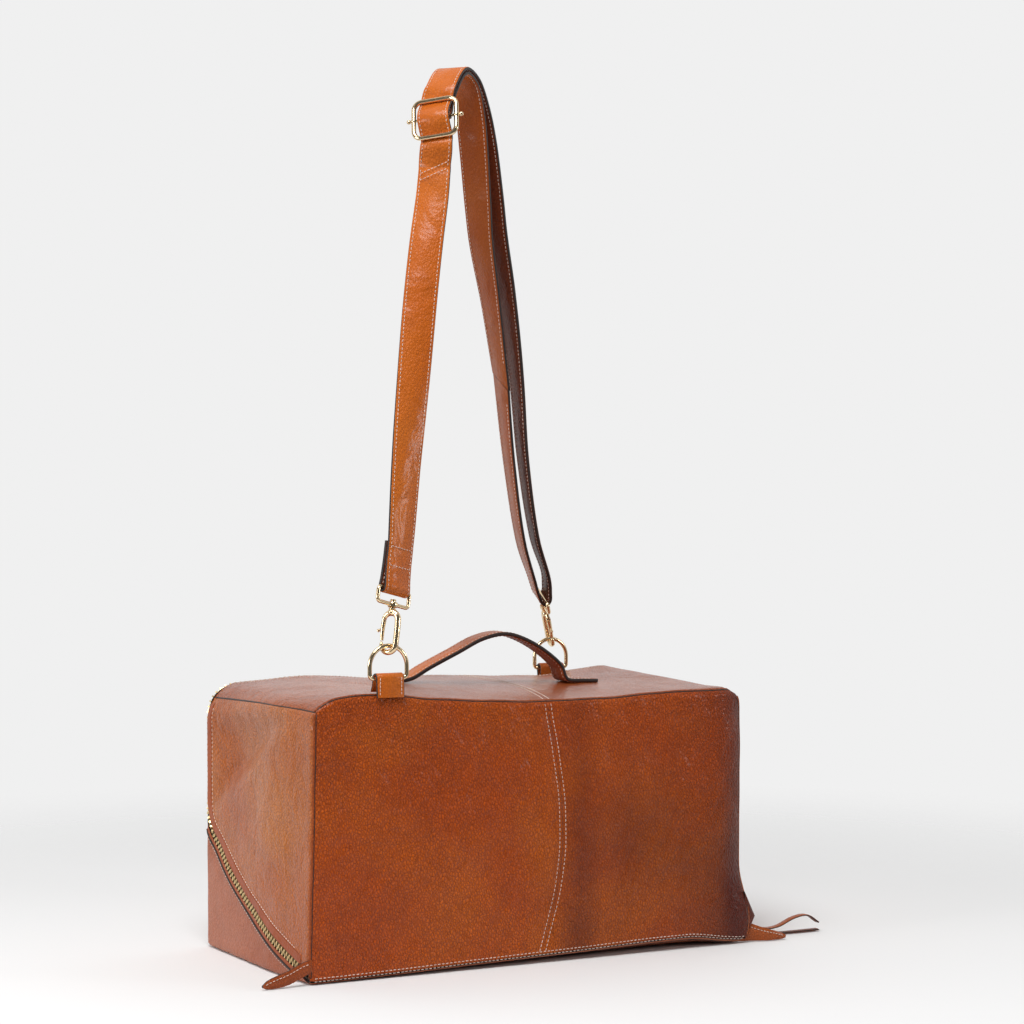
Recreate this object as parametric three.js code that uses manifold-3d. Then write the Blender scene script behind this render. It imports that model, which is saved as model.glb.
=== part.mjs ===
// A leather weekender bag: a box-shaped holdall whose front, top and upper ends open as one lid about the
// front bottom edge, with a zip round both ends and the rear top edge, a top handle, two D-rings, and a
// detachable shoulder strap with a snap hook at each end and a slide buckle.
// Millimetres, +X along the bag, +Y to the back, +Z up. The origin is the middle of the bottom, on the floor.
import * as THREE from "three";
import { mergeVertices } from "three/addons/utils/BufferGeometryUtils.js";
import Module from "manifold-3d";

const wasm = await Module();
wasm.setup();

// ---- Driving dimensions ----
const LENGTH = 500;
const DEPTH = 252;
const HEIGHT = 265;
const WALL = 3;
const FIT = 0.4;

const LINING = 1;
const BOARD = 2;
const SEAM_X = 12;

const TRACK_RADIUS = 690;
const TRACK_START = { y: -106, z: 14, slope: THREE.MathUtils.degToRad(16.4) };
const TRACK_TURN = THREE.MathUtils.degToRad(36);
const ZIP_CORNER = 30;
const ZIP_EDGE = 2.6;
const ZIP_SLOT = 0.6;
const ZIP_HALF = 4.4;
const TEETH = { wide: 3.3, deep: 1.8 };
const TAPE = { wide: 3.0, top: 2.1, bottom: 2.9 };

const STRAP = { width: 34, thick: 3.4 };
const HANDLE = { width: 28, thick: 4, y: 0 };
const RING = { half: 20, corner: 4, shoulder: 12, wire: 2.2 };
const RING_TOP = RING.shoulder + RING.half;
const FRONT_BAR = new THREE.Vector3(-157, -123, 294);
const REAR_BAR = new THREE.Vector3(163, 132, 276);
const TAB_WIDTH = 32;

const HOOK = { thick: 4, inner: 6, wall: 3.4, floor: -5, top: 30, post: 2, boss: 5, hole: 2.3 };
const EYE = { half: 21.4, wire: 2, low: 41, corner: 3.6 };
const FRONT_HOOK = { lean: 14, eyeTop: 56, heading: -51.8, eyeHeading: 20 };
const REAR_HOOK = { lean: -25, eyeTop: 53, heading: 75, eyeHeading: -108 };
const GATE = { tip: 4.6, thick: 2.6 };
const BUCKLE = { half: 24, rise: 17, corner: 7, wire: 2, bar: 1.4, hole: 1.7, boss: 2.8, ball: 2 };

// ---- Solids ----
const asSolid = (geometry) => {
  const bare = geometry.clone();
  bare.deleteAttribute("normal");
  bare.deleteAttribute("uv");
  const merged = mergeVertices(bare, 1e-4);
  return new wasm.Manifold(
    new wasm.Mesh({
      numProp: 3,
      vertProperties: new Float32Array(merged.attributes.position.array),
      triVerts: new Uint32Array(merged.index.array),
    }),
  );
};

const asGeometry = (solid) => {
  const mesh = solid.getMesh();
  const geometry = new THREE.BufferGeometry();
  geometry.setAttribute("position", new THREE.BufferAttribute(mesh.vertProperties, 3));
  geometry.setIndex(new THREE.BufferAttribute(mesh.triVerts, 1));
  geometry.computeVertexNormals();
  return geometry;
};

const join = (...parts) => asGeometry(parts.map(asSolid).reduce((a, b) => a.add(b)));
const cut = (part, ...tools) => asGeometry(tools.map(asSolid).reduce((a, b) => a.subtract(b), asSolid(part)));

const block = (x0, x1, y0, y1, z0, z1) =>
  new THREE.BoxGeometry(x1 - x0, y1 - y0, z1 - z0).translate((x0 + x1) / 2, (y0 + y1) / 2, (z0 + z1) / 2);

// A flat plate: its outline lies in the plane of u and v, and it is thick along u x v.
function plate(outline, origin, u, v, thick, holes = []) {
  const shape = new THREE.Shape(outline);
  shape.holes = holes;
  const geometry = new THREE.ExtrudeGeometry(shape, { depth: thick, bevelEnabled: false, curveSegments: 8 });
  const w = new THREE.Vector3().crossVectors(u, v);
  const basis = new THREE.Matrix4().makeBasis(u, v, w).setPosition(origin);
  return geometry.applyMatrix4(basis);
}

const X = new THREE.Vector3(1, 0, 0);
const Y = new THREE.Vector3(0, 1, 0);
const Z = new THREE.Vector3(0, 0, 1);
const P2 = (x, y) => new THREE.Vector2(x, y);
const endPlate = (outline, x0, x1) => plate(outline, new THREE.Vector3(x0, 0, 0), Y, Z, x1 - x0);
const facePlate = (outline, y0, y1) => plate(outline, new THREE.Vector3(0, y1, 0), X, Z, y1 - y0);

// A bar of constant section along a chain of frames, each with a place and the section's two directions.
function sweep(frames, section, closed = false) {
  const n = section.length;
  const points = frames.flatMap(({ at, across, out }) =>
    section.map(([a, b]) => at.clone().addScaledVector(across, a).addScaledVector(out, b)),
  );
  const faces = [];
  const rings = closed ? frames.length : frames.length - 1;
  for (let i = 0; i < rings; i++) {
    const here = i * n;
    const next = ((i + 1) % frames.length) * n;
    for (let k = 0; k < n; k++) {
      const l = (k + 1) % n;
      faces.push([here + k, here + l, next + l], [here + k, next + l, next + k]);
    }
  }
  if (!closed) {
    const last = (frames.length - 1) * n;
    for (let k = 1; k < n - 1; k++) {
      faces.push([0, k + 1, k], [last, last + k, last + k + 1]);
    }
  }
  const volume = faces.reduce((sum, [a, b, c]) => sum + points[a].dot(points[b].clone().cross(points[c])), 0);
  const index = faces.flatMap(([a, b, c]) => (volume < 0 ? [a, c, b] : [a, b, c]));
  const geometry = new THREE.BufferGeometry().setFromPoints(points);
  geometry.setIndex(index);
  geometry.computeVertexNormals();
  return geometry;
}

const circle = (radius, sides) =>
  Array.from({ length: sides }, (_, i) => {
    const turn = (2 * Math.PI * i) / sides;
    return [radius * Math.cos(turn), radius * Math.sin(turn)];
  });

const slab = (width, thick) => [
  [-width / 2, -thick / 2],
  [width / 2, -thick / 2],
  [width / 2, thick / 2],
  [-width / 2, thick / 2],
];

// A ribbon runs smoothly through its stations, each with a place, the direction of its width, and how thin
// it is there.
const station = (at, width, thin = 1) => ({ at, width, thin });
function ribbonFrames(stations, steps = 4) {
  const line = new THREE.CatmullRomCurve3(stations.map((s) => s.at), false, "centripetal");
  const parts = stations.length - 1;
  return spread(0, 1, parts * steps).map((t) => {
    const i = Math.min(Math.floor(t * parts + 1e-9), parts - 1);
    const here = stations[i];
    const next = stations[i + 1];
    const share = t * parts - i;
    const tangent = line.getTangent(t);
    const width = here.width.clone().lerp(next.width, share);
    width.addScaledVector(tangent, -width.dot(tangent)).normalize();
    const out = tangent.clone().cross(width).normalize();
    out.multiplyScalar(here.thin + (next.thin - here.thin) * share);
    return { at: line.getPoint(t), across: width, out };
  });
}
const ribbon = (stations, size, steps) => sweep(ribbonFrames(stations, steps), slab(size.width, size.thick));

// A wire bent along a closed outline in the plane of u and v.
function wireLoop(outline, origin, u, v, radius, sides = 8, detail = 7) {
  const normal = new THREE.Vector3().crossVectors(u, v);
  const points = outline.getPoints(detail);
  if (points[0].distanceTo(points[points.length - 1]) < 1e-6) points.pop();
  const frames = points.map((p, i) => {
    const before = points[(i + points.length - 1) % points.length];
    const after = points[(i + 1) % points.length];
    const tangent = after.clone().sub(before).normalize();
    const across = u.clone().multiplyScalar(tangent.y).addScaledVector(v, -tangent.x);
    return { at: origin.clone().addScaledVector(u, p.x).addScaledVector(v, p.y), across, out: normal };
  });
  return sweep(frames, circle(radius, sides), true);
}

// A D-shaped outline: a straight bar at the bottom, from which the sides rise to a half circle.
function dOutline(half, corner, shoulder) {
  const path = new THREE.Path();
  path.moveTo(-half + corner, 0);
  path.lineTo(half - corner, 0);
  path.absarc(half - corner, corner, corner, -Math.PI / 2, 0);
  path.lineTo(half, shoulder);
  path.absarc(0, shoulder, half, 0, Math.PI);
  path.lineTo(-half, corner);
  path.absarc(-half + corner, corner, corner, Math.PI, 1.5 * Math.PI);
  return path;
}

function roundedLoop(half, low, high, corner) {
  const path = new THREE.Path();
  path.moveTo(-half + corner, low);
  path.lineTo(half - corner, low);
  path.absarc(half - corner, low + corner, corner, -Math.PI / 2, 0);
  path.lineTo(half, high - corner);
  path.absarc(half - corner, high - corner, corner, 0, Math.PI / 2);
  path.lineTo(-half + corner, high);
  path.absarc(-half + corner, high - corner, corner, Math.PI / 2, Math.PI);
  path.lineTo(-half, low + corner);
  path.absarc(-half + corner, low + corner, corner, Math.PI, 1.5 * Math.PI);
  return path;
}

const rod = (from, to, radius, sides = 12) => {
  const axis = to.clone().sub(from);
  const turn = new THREE.Quaternion().setFromUnitVectors(Y, axis.clone().normalize());
  return new THREE.CylinderGeometry(radius, radius, axis.length(), sides)
    .applyQuaternion(turn)
    .translate(...from.clone().lerp(to, 0.5).toArray());
};

const ball = (at, radius) => new THREE.SphereGeometry(radius, 12, 8).translate(...at.toArray());

// ---- Materials and the group ----
const bag = new THREE.Group();
const finish = (color, roughness, metalness = 0) => new THREE.MeshStandardMaterial({ color, roughness, metalness });
const TAN = finish(0xb5652c, 0.45);
const TAN_DARK = finish(0x9a5224, 0.5);
const CLOTH = finish(0x5b4636, 0.9);
const CARD = finish(0x8a7a66, 0.9);
const TAPE_CLOTH = finish(0x2a211c, 0.8);
const OLD_BRASS = finish(0xa98a4c, 0.4, 1);
const GOLD = finish(0xe2c492, 0.2, 1);

function add(name, geometry, material, group = bag) {
  const mesh = new THREE.Mesh(geometry, material);
  mesh.name = name;
  group.add(mesh);
}

// ---- The zip's track ----
// On each end it climbs from the front bottom corner on one large arc, then turns up into the rear edge.
const arcCentre = {
  y: TRACK_START.y - TRACK_RADIUS * Math.sin(TRACK_START.slope),
  z: TRACK_START.z + TRACK_RADIUS * Math.cos(TRACK_START.slope),
};
const rearY = DEPTH / 2 - ZIP_EDGE;
const turnStart = {
  y: arcCentre.y + TRACK_RADIUS * Math.sin(TRACK_TURN),
  z: arcCentre.z - TRACK_RADIUS * Math.cos(TRACK_TURN),
};
const turnRadius = (rearY - turnStart.y) / (1 - Math.sin(TRACK_TURN));
const turnCentre = { y: rearY - turnRadius, z: turnStart.z + turnRadius * Math.cos(TRACK_TURN) };

// A point of the track on the end's plane, side millimetres towards the lid, at the slope given.
function trackAt(slope, side = 0) {
  const [centre, radius] = slope <= TRACK_TURN ? [arcCentre, TRACK_RADIUS] : [turnCentre, turnRadius];
  return P2(centre.y + (radius - side) * Math.sin(slope), centre.z - (radius - side) * Math.cos(slope));
}

const spread = (from, to, steps) => Array.from({ length: steps + 1 }, (_, i) => from + ((to - from) * i) / steps);
const lowSlopes = spread(TRACK_START.slope, TRACK_TURN, 7);
const turnSlopes = spread(TRACK_TURN, Math.PI / 2, 6).slice(1);
const trackLine = (side) => [...lowSlopes, ...turnSlopes].map((slope) => trackAt(slope, side));

// The whole track from the left front corner to the right one. out points away from the bag, and across
// points to the lid's side.
function trackFrames() {
  const edgeX = LENGTH / 2 - ZIP_EDGE;
  const half = [];
  for (const slope of [...lowSlopes, ...turnSlopes]) {
    const turned = Math.max(0, (slope - TRACK_TURN) / (Math.PI / 2 - TRACK_TURN));
    const p = trackAt(slope);
    const lean = (turned * Math.PI) / 4;
    const out = new THREE.Vector3(-Math.cos(lean), Math.sin(lean), 0);
    const along = new THREE.Vector3(0, Math.cos(slope), Math.sin(slope));
    const across = along.clone().cross(out).normalize();
    half.push({ at: new THREE.Vector3(-LENGTH / 2 + ZIP_EDGE * turned, p.x, p.y), across, out });
  }
  const cornerX = edgeX - ZIP_CORNER;
  const cornerZ = HEIGHT - ZIP_EDGE - ZIP_CORNER;
  const edgeFrame = (x, z, turn) => ({
    at: new THREE.Vector3(x, rearY, z),
    across: new THREE.Vector3(-Math.cos(turn), -1, Math.sin(turn)).normalize(),
    out: new THREE.Vector3(-Math.cos(turn), 1, Math.sin(turn)).normalize(),
  });
  const edgeZ = trackAt(Math.PI / 2).y;
  for (const z of spread(edgeZ, cornerZ, 3).slice(1, 3)) half.push(edgeFrame(-edgeX, z, 0));
  for (const turn of spread(0, Math.PI / 2, 7)) {
    half.push(edgeFrame(-cornerX - ZIP_CORNER * Math.cos(turn), cornerZ + ZIP_CORNER * Math.sin(turn), turn));
  }
  for (const x of spread(-cornerX, 0, 5).slice(1, 5)) half.push(edgeFrame(x, HEIGHT - ZIP_EDGE, Math.PI / 2));
  const flip = (v) => new THREE.Vector3(-v.x, v.y, v.z);
  const mirrored = half.map(({ at, across, out }) => ({ at: flip(at), across: flip(across), out: flip(out) }));
  return [...half, ...mirrored.reverse()];
}

const TRACK = trackFrames();
const trackStrip = (near, far, top, bottom) =>
  sweep(TRACK, [
    [near, -top],
    [far, -top],
    [far, -bottom],
    [near, -bottom],
  ]);

// ---- The base: bottom, back and the lower rear part of both ends ----
const halfL = LENGTH / 2;
const halfD = DEPTH / 2;
const backSide = halfL - ZIP_EDGE - ZIP_HALF;
const backTop = HEIGHT - ZIP_EDGE - ZIP_HALF;
const frontInset = 5;

function backPanel() {
  const corner = ZIP_CORNER - ZIP_HALF;
  const shape = new THREE.Path();
  shape.moveTo(-halfL, WALL + FIT);
  shape.lineTo(halfL, WALL + FIT);
  shape.lineTo(halfL, 108);
  shape.lineTo(backSide, 138);
  shape.lineTo(backSide, backTop - corner);
  shape.absarc(backSide - corner, backTop - corner, corner, 0, Math.PI / 2);
  shape.lineTo(-backSide + corner, backTop);
  shape.absarc(-backSide + corner, backTop - corner, corner, Math.PI / 2, Math.PI);
  shape.lineTo(-backSide, 138);
  shape.lineTo(-halfL, 108);
  return facePlate(shape.getPoints(6), halfD - WALL, halfD);
}

function baseEndOutline(side, bottom, rear) {
  const upper = trackLine(-side).filter((p) => p.x < rear);
  return [P2(-halfD + frontInset, bottom), P2(rear, bottom), P2(rear, upper[upper.length - 1].y + 4), ...upper.reverse()];
}

function lidEndOutline(side, front, top) {
  const lower = trackLine(side);
  return [P2(front, top), P2(front, lower[0].y - 4), ...lower, P2(lower[lower.length - 1].x, top)];
}

add("bottom_panel", block(-halfL, halfL, -halfD, halfD, 0, WALL), TAN);
add("back_panel", backPanel(), TAN);
add("hinge_hem", block(-halfL, halfL, -halfD + FIT, -halfD + WALL + FIT, WALL + 0.3, WALL + 2.7), TAN_DARK);
const baseEnd = baseEndOutline(ZIP_HALF, WALL + FIT, halfD - WALL - FIT);
add("left_end_base", endPlate(baseEnd, -halfL, -halfL + WALL), TAN);
add("right_end_base", endPlate(baseEnd, halfL - WALL, halfL), TAN);
const boardHalf = halfL - WALL - 4;
add("bottom_board", block(-boardHalf, boardHalf, -halfD + 6, halfD - 6, WALL + FIT, WALL + FIT + BOARD), CARD);

const liningX = halfL - WALL - 2.5;
const liningFloor = WALL + FIT + BOARD + 0.6;
const liningBack = halfD - WALL - 0.8;
const baseLiningEnd = baseEndOutline(ZIP_HALF + 0.8, liningFloor, liningBack);
add(
  "base_lining",
  join(
    block(-liningX, liningX, -halfD + frontInset + 0.5, liningBack, liningFloor, liningFloor + LINING),
    block(-liningX + ZIP_CORNER, liningX - ZIP_CORNER, liningBack - LINING, liningBack, liningFloor, backTop - 2),
    endPlate(baseLiningEnd, -liningX, -liningX + LINING),
    endPlate(baseLiningEnd, liningX - LINING, liningX),
    block(-liningX, liningX, liningBack - LINING, liningBack, liningFloor, 120),
  ),
  CLOTH,
);

// ---- The lid: front, top and the upper front part of both ends ----
const panelX = halfL - WALL - FIT;
const lidFoot = WALL + 3;
const lidRear = rearY - ZIP_HALF;
const faces = [
  ["left", -panelX, SEAM_X - 0.2],
  ["right", SEAM_X + 0.2, panelX],
];
for (const [side, x0, x1] of faces) {
  add(`front_panel_${side}`, block(x0, x1, -halfD, -halfD + WALL, lidFoot, HEIGHT), TAN);
  add(`top_panel_${side}`, block(x0, x1, -halfD + WALL + FIT, lidRear, HEIGHT - WALL, HEIGHT), TAN);
}
const lidEnd = lidEndOutline(ZIP_HALF, -halfD, HEIGHT);
add("left_end_lid", endPlate(lidEnd, -halfL, -halfL + WALL), TAN);
add("right_end_lid", endPlate(lidEnd, halfL - WALL, halfL), TAN);
const liningFront = -halfD + WALL + 0.7;
const liningTop = HEIGHT - WALL - 0.6;
const lidLiningEnd = lidEndOutline(ZIP_HALF + 0.8, liningFront, liningTop);
add(
  "lid_lining",
  join(
    block(-liningX, liningX, liningFront, liningFront + LINING, lidFoot + 3, liningTop),
    block(-liningX, liningX, liningFront, lidRear - 1, liningTop - LINING, liningTop),
    endPlate(lidLiningEnd, -liningX, -liningX + LINING),
    endPlate(lidLiningEnd, liningX - LINING, liningX),
  ),
  CLOTH,
);

// ---- The zip ----
add("zip_teeth_lid", trackStrip(ZIP_SLOT, TEETH.wide, 0, TEETH.deep), OLD_BRASS);
add("zip_teeth_base", trackStrip(-TEETH.wide, -ZIP_SLOT, 0, TEETH.deep), OLD_BRASS);
add("zip_tape_lid", trackStrip(ZIP_SLOT, TAPE.wide, TAPE.top, TAPE.bottom), TAPE_CLOTH);
add("zip_tape_base", trackStrip(-TAPE.wide, -ZIP_SLOT, TAPE.top, TAPE.bottom), TAPE_CLOTH);

// The slider has a plate on each side of the zip and a thin neck between the two rows.
const sliderSlope = TRACK_START.slope + 9 / TRACK_RADIUS;
const sliderAt = trackAt(sliderSlope);
const sliderAlong = new THREE.Vector3(0, Math.cos(sliderSlope), Math.sin(sliderSlope));
const sliderAcross = new THREE.Vector3(0, -Math.sin(sliderSlope), Math.cos(sliderSlope));
const sliderOrigin = new THREE.Vector3(halfL, sliderAt.x, sliderAt.y);
const SLIDER = { half: 7, wide: 4.2, outer: 1.6, inner: 1.1, gap: 0.5 };
const PULL = { lug: 3.2, lugHalf: 1.1, hole: 1.4, ringHalf: 7, ringLong: 9.4, wire: 0.9 };
const STRIP = { width: 8.6, thick: 1.6 };
const inSlider = (geometry) =>
  geometry.applyMatrix4(new THREE.Matrix4().makeBasis(X, sliderAlong, sliderAcross).setPosition(sliderOrigin));
const lugX = SLIDER.gap + SLIDER.outer + PULL.lug - 1;

function slider() {
  const outerX = SLIDER.gap + SLIDER.outer;
  const innerX = -TAPE.bottom - SLIDER.gap;
  const body = join(
    block(SLIDER.gap, outerX, -SLIDER.half, SLIDER.half, -SLIDER.wide, SLIDER.wide),
    block(innerX - SLIDER.inner, innerX, -SLIDER.half, SLIDER.half, -SLIDER.wide, SLIDER.wide),
    block(innerX - 0.5, SLIDER.gap + 0.5, -1.6, 1.6, -0.3, 0.3),
    block(outerX - 0.5, outerX + PULL.lug + 1.2, -PULL.lugHalf, PULL.lugHalf, -2.6, 2.6),
  );
  const hole = rod(new THREE.Vector3(lugX, -4, 0), new THREE.Vector3(lugX, 4, 0), PULL.hole);
  return inSlider(cut(body, hole));
}

// The pull ring passes through the lug's hole and slopes down from it.
const ringDown = THREE.MathUtils.degToRad(25);
const ringReach = new THREE.Vector3(Math.cos(ringDown), 0, -Math.sin(ringDown));
function pullRing() {
  const outline = roundedLoop(PULL.ringHalf, 0, PULL.ringLong, 2);
  return inSlider(wireLoop(outline, new THREE.Vector3(lugX, 0, 0), Y, ringReach, PULL.wire, 6, 3));
}

// A doubled strip: it folds round the ring, one tail arches up and comes down, the other lies on the floor.
function pullStrip() {
  const far = sliderOrigin.clone().addScaledVector(X, lugX + PULL.ringLong * ringReach.x);
  far.addScaledVector(sliderAcross, PULL.ringLong * ringReach.z);
  const fold = PULL.wire + 0.4 + STRIP.thick / 2;
  const low = STRIP.thick / 2 + 0.8;
  const onFloor = (x, height) => station(new THREE.Vector3(x, far.y, height), Y);
  const onRing = (x, height) => station(new THREE.Vector3(far.x + x, far.y, far.z + height), sliderAlong);
  const stations = [
    onFloor(366, 9.5),
    onFloor(352, 18),
    onFloor(335, 16.5),
    onFloor(315, 9),
    onFloor(298, 8),
    onRing(14, 1.5),
    onRing(5, 2.6),
    onRing(0, fold),
    onRing(-fold * 0.72, fold * 0.72),
    onRing(-fold, 0),
    onRing(-fold * 0.72, -fold * 0.72),
    onRing(0, -fold),
    onRing(5, -3.4),
    onRing(15, -6),
    onFloor(298, low + 0.8),
    onFloor(320, low),
    onFloor(366, low),
  ];
  return ribbon(stations, STRIP, 3);
}

add("zip_slider", slider(), OLD_BRASS);
add("pull_ring", pullRing(), GOLD);
add("pull_strip", pullStrip(), TAN_DARK);

// Leaf-shaped tabs cover the two ends of the zip at the front corners.
function leafTab(side) {
  const root = side * (halfL + 0.4);
  const tip = side * (halfL + (side < 0 ? 42 : 57));
  const shape = new THREE.Path();
  shape.moveTo(root, 4);
  shape.bezierCurveTo(root + (tip - root) * 0.4, 0, tip - side * 6, -1.5, tip, 4);
  shape.bezierCurveTo(tip + side * 3, 11, tip - side * 14, 15, root, 24);
  const points = shape.getPoints(7).map((p) => P2(p.x, Math.max(p.y, 0.3)));
  return facePlate(side < 0 ? points.reverse() : points, -halfD, -halfD + 4);
}
add("left_zip_tab", leafTab(-1), TAN);
add("right_zip_tab", leafTab(1), TAN);

// ---- The handle ----
function handle() {
  const foot = HEIGHT + FIT + HANDLE.thick / 2;
  const stations = [
    [-112, foot],
    [-92, foot],
    [-78, foot + 2.5],
    [-58, foot + 19],
    [-24, foot + 41],
    [5, foot + 54],
    [32, foot + 58],
    [58, foot + 50],
    [84, foot + 34],
    [98, foot + 18],
    [101.5, foot + 7],
    [104.5, foot + 2.2],
    [110, foot + 0.4],
    [124, foot],
    [141, foot],
  ].map(([x, height]) => station(new THREE.Vector3(x, HANDLE.y, height), Y));
  return ribbon(stations, HANDLE, 3);
}
add("handle", handle(), TAN_DARK);

// ---- D-rings and their tabs ----
const ring = (bar) => wireLoop(dOutline(RING.half, RING.corner, RING.shoulder), bar, X, Z, RING.wire, 10);

// A tab is a strip folded over the ring's bar: round at the bar, and flat below it.
function tab(bar, foot, footY, thick) {
  const outer = RING.wire + 3;
  const hole = new THREE.Path();
  hole.absarc(bar.y, bar.z, RING.wire + FIT, 0, 2 * Math.PI);
  const shape = new THREE.Path();
  shape.moveTo(footY + thick, foot);
  shape.lineTo(footY + thick, Math.min(foot + 20, bar.z - 12));
  shape.absarc(bar.y, bar.z, outer, -0.2, Math.PI + 0.2);
  shape.lineTo(footY, Math.min(foot + 20, bar.z - 12));
  shape.lineTo(footY, foot);
  const origin = new THREE.Vector3(bar.x - TAB_WIDTH / 2, 0, 0);
  return plate(shape.getPoints(5), origin, Y, Z, TAB_WIDTH, [hole]);
}
add("front_ring_tab", tab(FRONT_BAR, HEIGHT + FIT, FRONT_BAR.y - 2.4, 4.8), TAN);
add("rear_ring_tab", tab(REAR_BAR, 222, halfD + FIT, 3.4), TAN);
add("front_d_ring", ring(FRONT_BAR), GOLD);
add("rear_d_ring", ring(REAR_BAR), GOLD);

// ---- The shoulder strap ----
// It hangs in the upright plane through both rings. run is the distance along that plane from the front ring.
const runDirection = REAR_BAR.clone().sub(FRONT_BAR).setZ(0).normalize();
const inPlane = (run, height) => FRONT_BAR.clone().setZ(0).addScaledVector(runDirection, run).setZ(height);
const level = (degrees) => {
  const turn = THREE.MathUtils.degToRad(degrees);
  return new THREE.Vector3(Math.cos(turn), Math.sin(turn), 0);
};

// A hook's own frame: along its length, and the directions across its claw and across its eye.
function hookFrame(bar, hook) {
  const lean = THREE.MathUtils.degToRad(hook.lean);
  const up = runDirection.clone().multiplyScalar(Math.sin(lean)).addScaledVector(Z, Math.cos(lean));
  const square = (direction) => direction.addScaledVector(up, -direction.dot(up)).normalize();
  return {
    wire: bar.clone().addScaledVector(Z, RING_TOP),
    up,
    side: square(level(hook.heading)),
    eyeSide: square(level(hook.eyeHeading)),
    eyeTop: hook.eyeTop,
  };
}
const frontHook = hookFrame(FRONT_BAR, FRONT_HOOK);
const rearHook = hookFrame(REAR_BAR, REAR_HOOK);
const onHook = (f, height) => f.wire.clone().addScaledVector(f.up, height);

function hookEye(f) {
  const loop = wireLoop(roundedLoop(EYE.half, EYE.low, f.eyeTop, EYE.corner), f.wire, f.eyeSide, f.up, EYE.wire);
  const boss = rod(onHook(f, EYE.low - 3), onHook(f, EYE.low + 2.6), HOOK.boss);
  const hole = rod(onHook(f, EYE.low - 5), onHook(f, EYE.low + 5), HOOK.hole);
  return cut(join(loop, boss), hole);
}

// The claw is a hook with its mouth on one side, and a post that turns in the eye's boss.
function hookClaw(f) {
  const { inner, wall, floor, top } = HOOK;
  const outer = inner + wall;
  const centre = floor + inner;
  const nose = GATE.tip - 0.7;
  const shape = new THREE.Path();
  shape.moveTo(-inner, nose);
  shape.lineTo(-outer, nose);
  shape.lineTo(-outer, centre);
  shape.absarc(0, centre, outer, Math.PI, 2 * Math.PI);
  shape.lineTo(outer, top - 4);
  shape.lineTo(4, top + 6);
  shape.lineTo(-4, top + 6);
  shape.lineTo(-outer + 1, top + 1);
  shape.lineTo(-outer + 1, top - 0.4);
  shape.lineTo(-2, top - 0.4);
  shape.lineTo(inner, top - 9);
  shape.lineTo(inner, centre);
  shape.absarc(0, centre, inner, 0, -Math.PI, true);
  const normal = new THREE.Vector3().crossVectors(f.side, f.up);
  const origin = f.wire.clone().addScaledVector(normal, -HOOK.thick / 2);
  const body = plate(shape.getPoints(6), origin, f.side, f.up, HOOK.thick);
  const post = rod(onHook(f, top + 4), onHook(f, EYE.low + 4.4), HOOK.post);
  const head = rod(onHook(f, EYE.low + 3), onHook(f, EYE.low + 4.6), 3.2);
  return join(body, post, head);
}

// The gate closes the claw from its pivot down to the nose, and has a thumb lever on its outer side.
function hookGate(f) {
  const { inner, wall, top } = HOOK;
  const outer = inner + wall;
  const outline = [
    [-outer, GATE.tip],
    [-outer + GATE.thick, GATE.tip],
    [-outer + GATE.thick, top - 8],
    [-outer + 4.6, top - 5],
    [-outer + 4.6, top - 0.9],
    [-outer - 0.4, top - 0.9],
    [-outer - 0.4, 19],
    [-outer - 5, 16],
    [-outer - 5, 14],
    [-outer, 14.5],
  ].map(([x, y]) => P2(x, y));
  const normal = new THREE.Vector3().crossVectors(f.side, f.up);
  const thick = HOOK.thick - 0.6;
  const origin = f.wire.clone().addScaledVector(normal, -thick / 2);
  return plate(outline, origin, f.side, f.up, thick);
}

for (const [name, f] of [
  ["front", frontHook],
  ["rear", rearHook],
]) {
  add(`${name}_hook_eye`, hookEye(f), GOLD);
  add(`${name}_hook_claw`, hookClaw(f), GOLD);
  add(`${name}_hook_gate`, hookGate(f), GOLD);
}

// Stations of the strap: run and height in its plane, the heading of its width in degrees, and, where two
// lengths lie side by side, the distance between their middles.
const frontEye = onHook(frontHook, FRONT_HOOK.eyeTop);
const rearEye = onHook(rearHook, REAR_HOOK.eyeTop);
const FRONT_LINE = [
  [40, 507, 8],
  [54, 587, -8],
  [66, 667, -24],
  [79, 728, -32],
  [91, 775, -40],
];
const SPLICE = { run: 96, height: 795, heading: -44 };
const BUCKLE_AT = { run: 107, height: 850, heading: -48, lean: 16.5 };
const REAR_LINE = [
  [124, 884, -52, 5],
  [150, 905, -52, 5],
  [180, 897, -52, 6.5],
  [201, 868, -54, 14],
  [214, 835, -57, 20],
  [229, 780, -64, 23],
  [240, 740, -72, 23],
  [266, 678, -84, 21],
  [294, 593, -94, 18],
  [313, 507, -100, 16],
  [345, 420, -105, 16],
];
const UPPER_SPLICE = 8;
const SPLICE_GAP = 1;

const onLine = (run, height, heading) => station(inPlane(run, height), level(heading));

const strap = (stations) => ribbon(stations, STRAP);

// A station beside a bar of a hook or of the buckle, away millimetres to the strap's inner side.
function aside(bar, up, side, along, away, thin = 1) {
  const inward = up.clone().cross(side).normalize();
  return station(bar.clone().addScaledVector(up, along).addScaledVector(inward, away), side, thin);
}
const buckleOrigin = inPlane(BUCKLE_AT.run, BUCKLE_AT.height);
const buckleLean = THREE.MathUtils.degToRad(BUCKLE_AT.lean);
const buckleUp = runDirection.clone().multiplyScalar(Math.sin(buckleLean)).addScaledVector(Z, Math.cos(buckleLean));
const buckleSide = level(BUCKLE_AT.heading);
buckleSide.addScaledVector(buckleUp, -buckleSide.dot(buckleUp)).normalize();
const acrossBuckle = (x) => buckleOrigin.clone().addScaledVector(buckleSide, x);
const onBuckle = (along, away, thin) => aside(buckleOrigin, buckleUp, buckleSide, along, away, thin);

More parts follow.
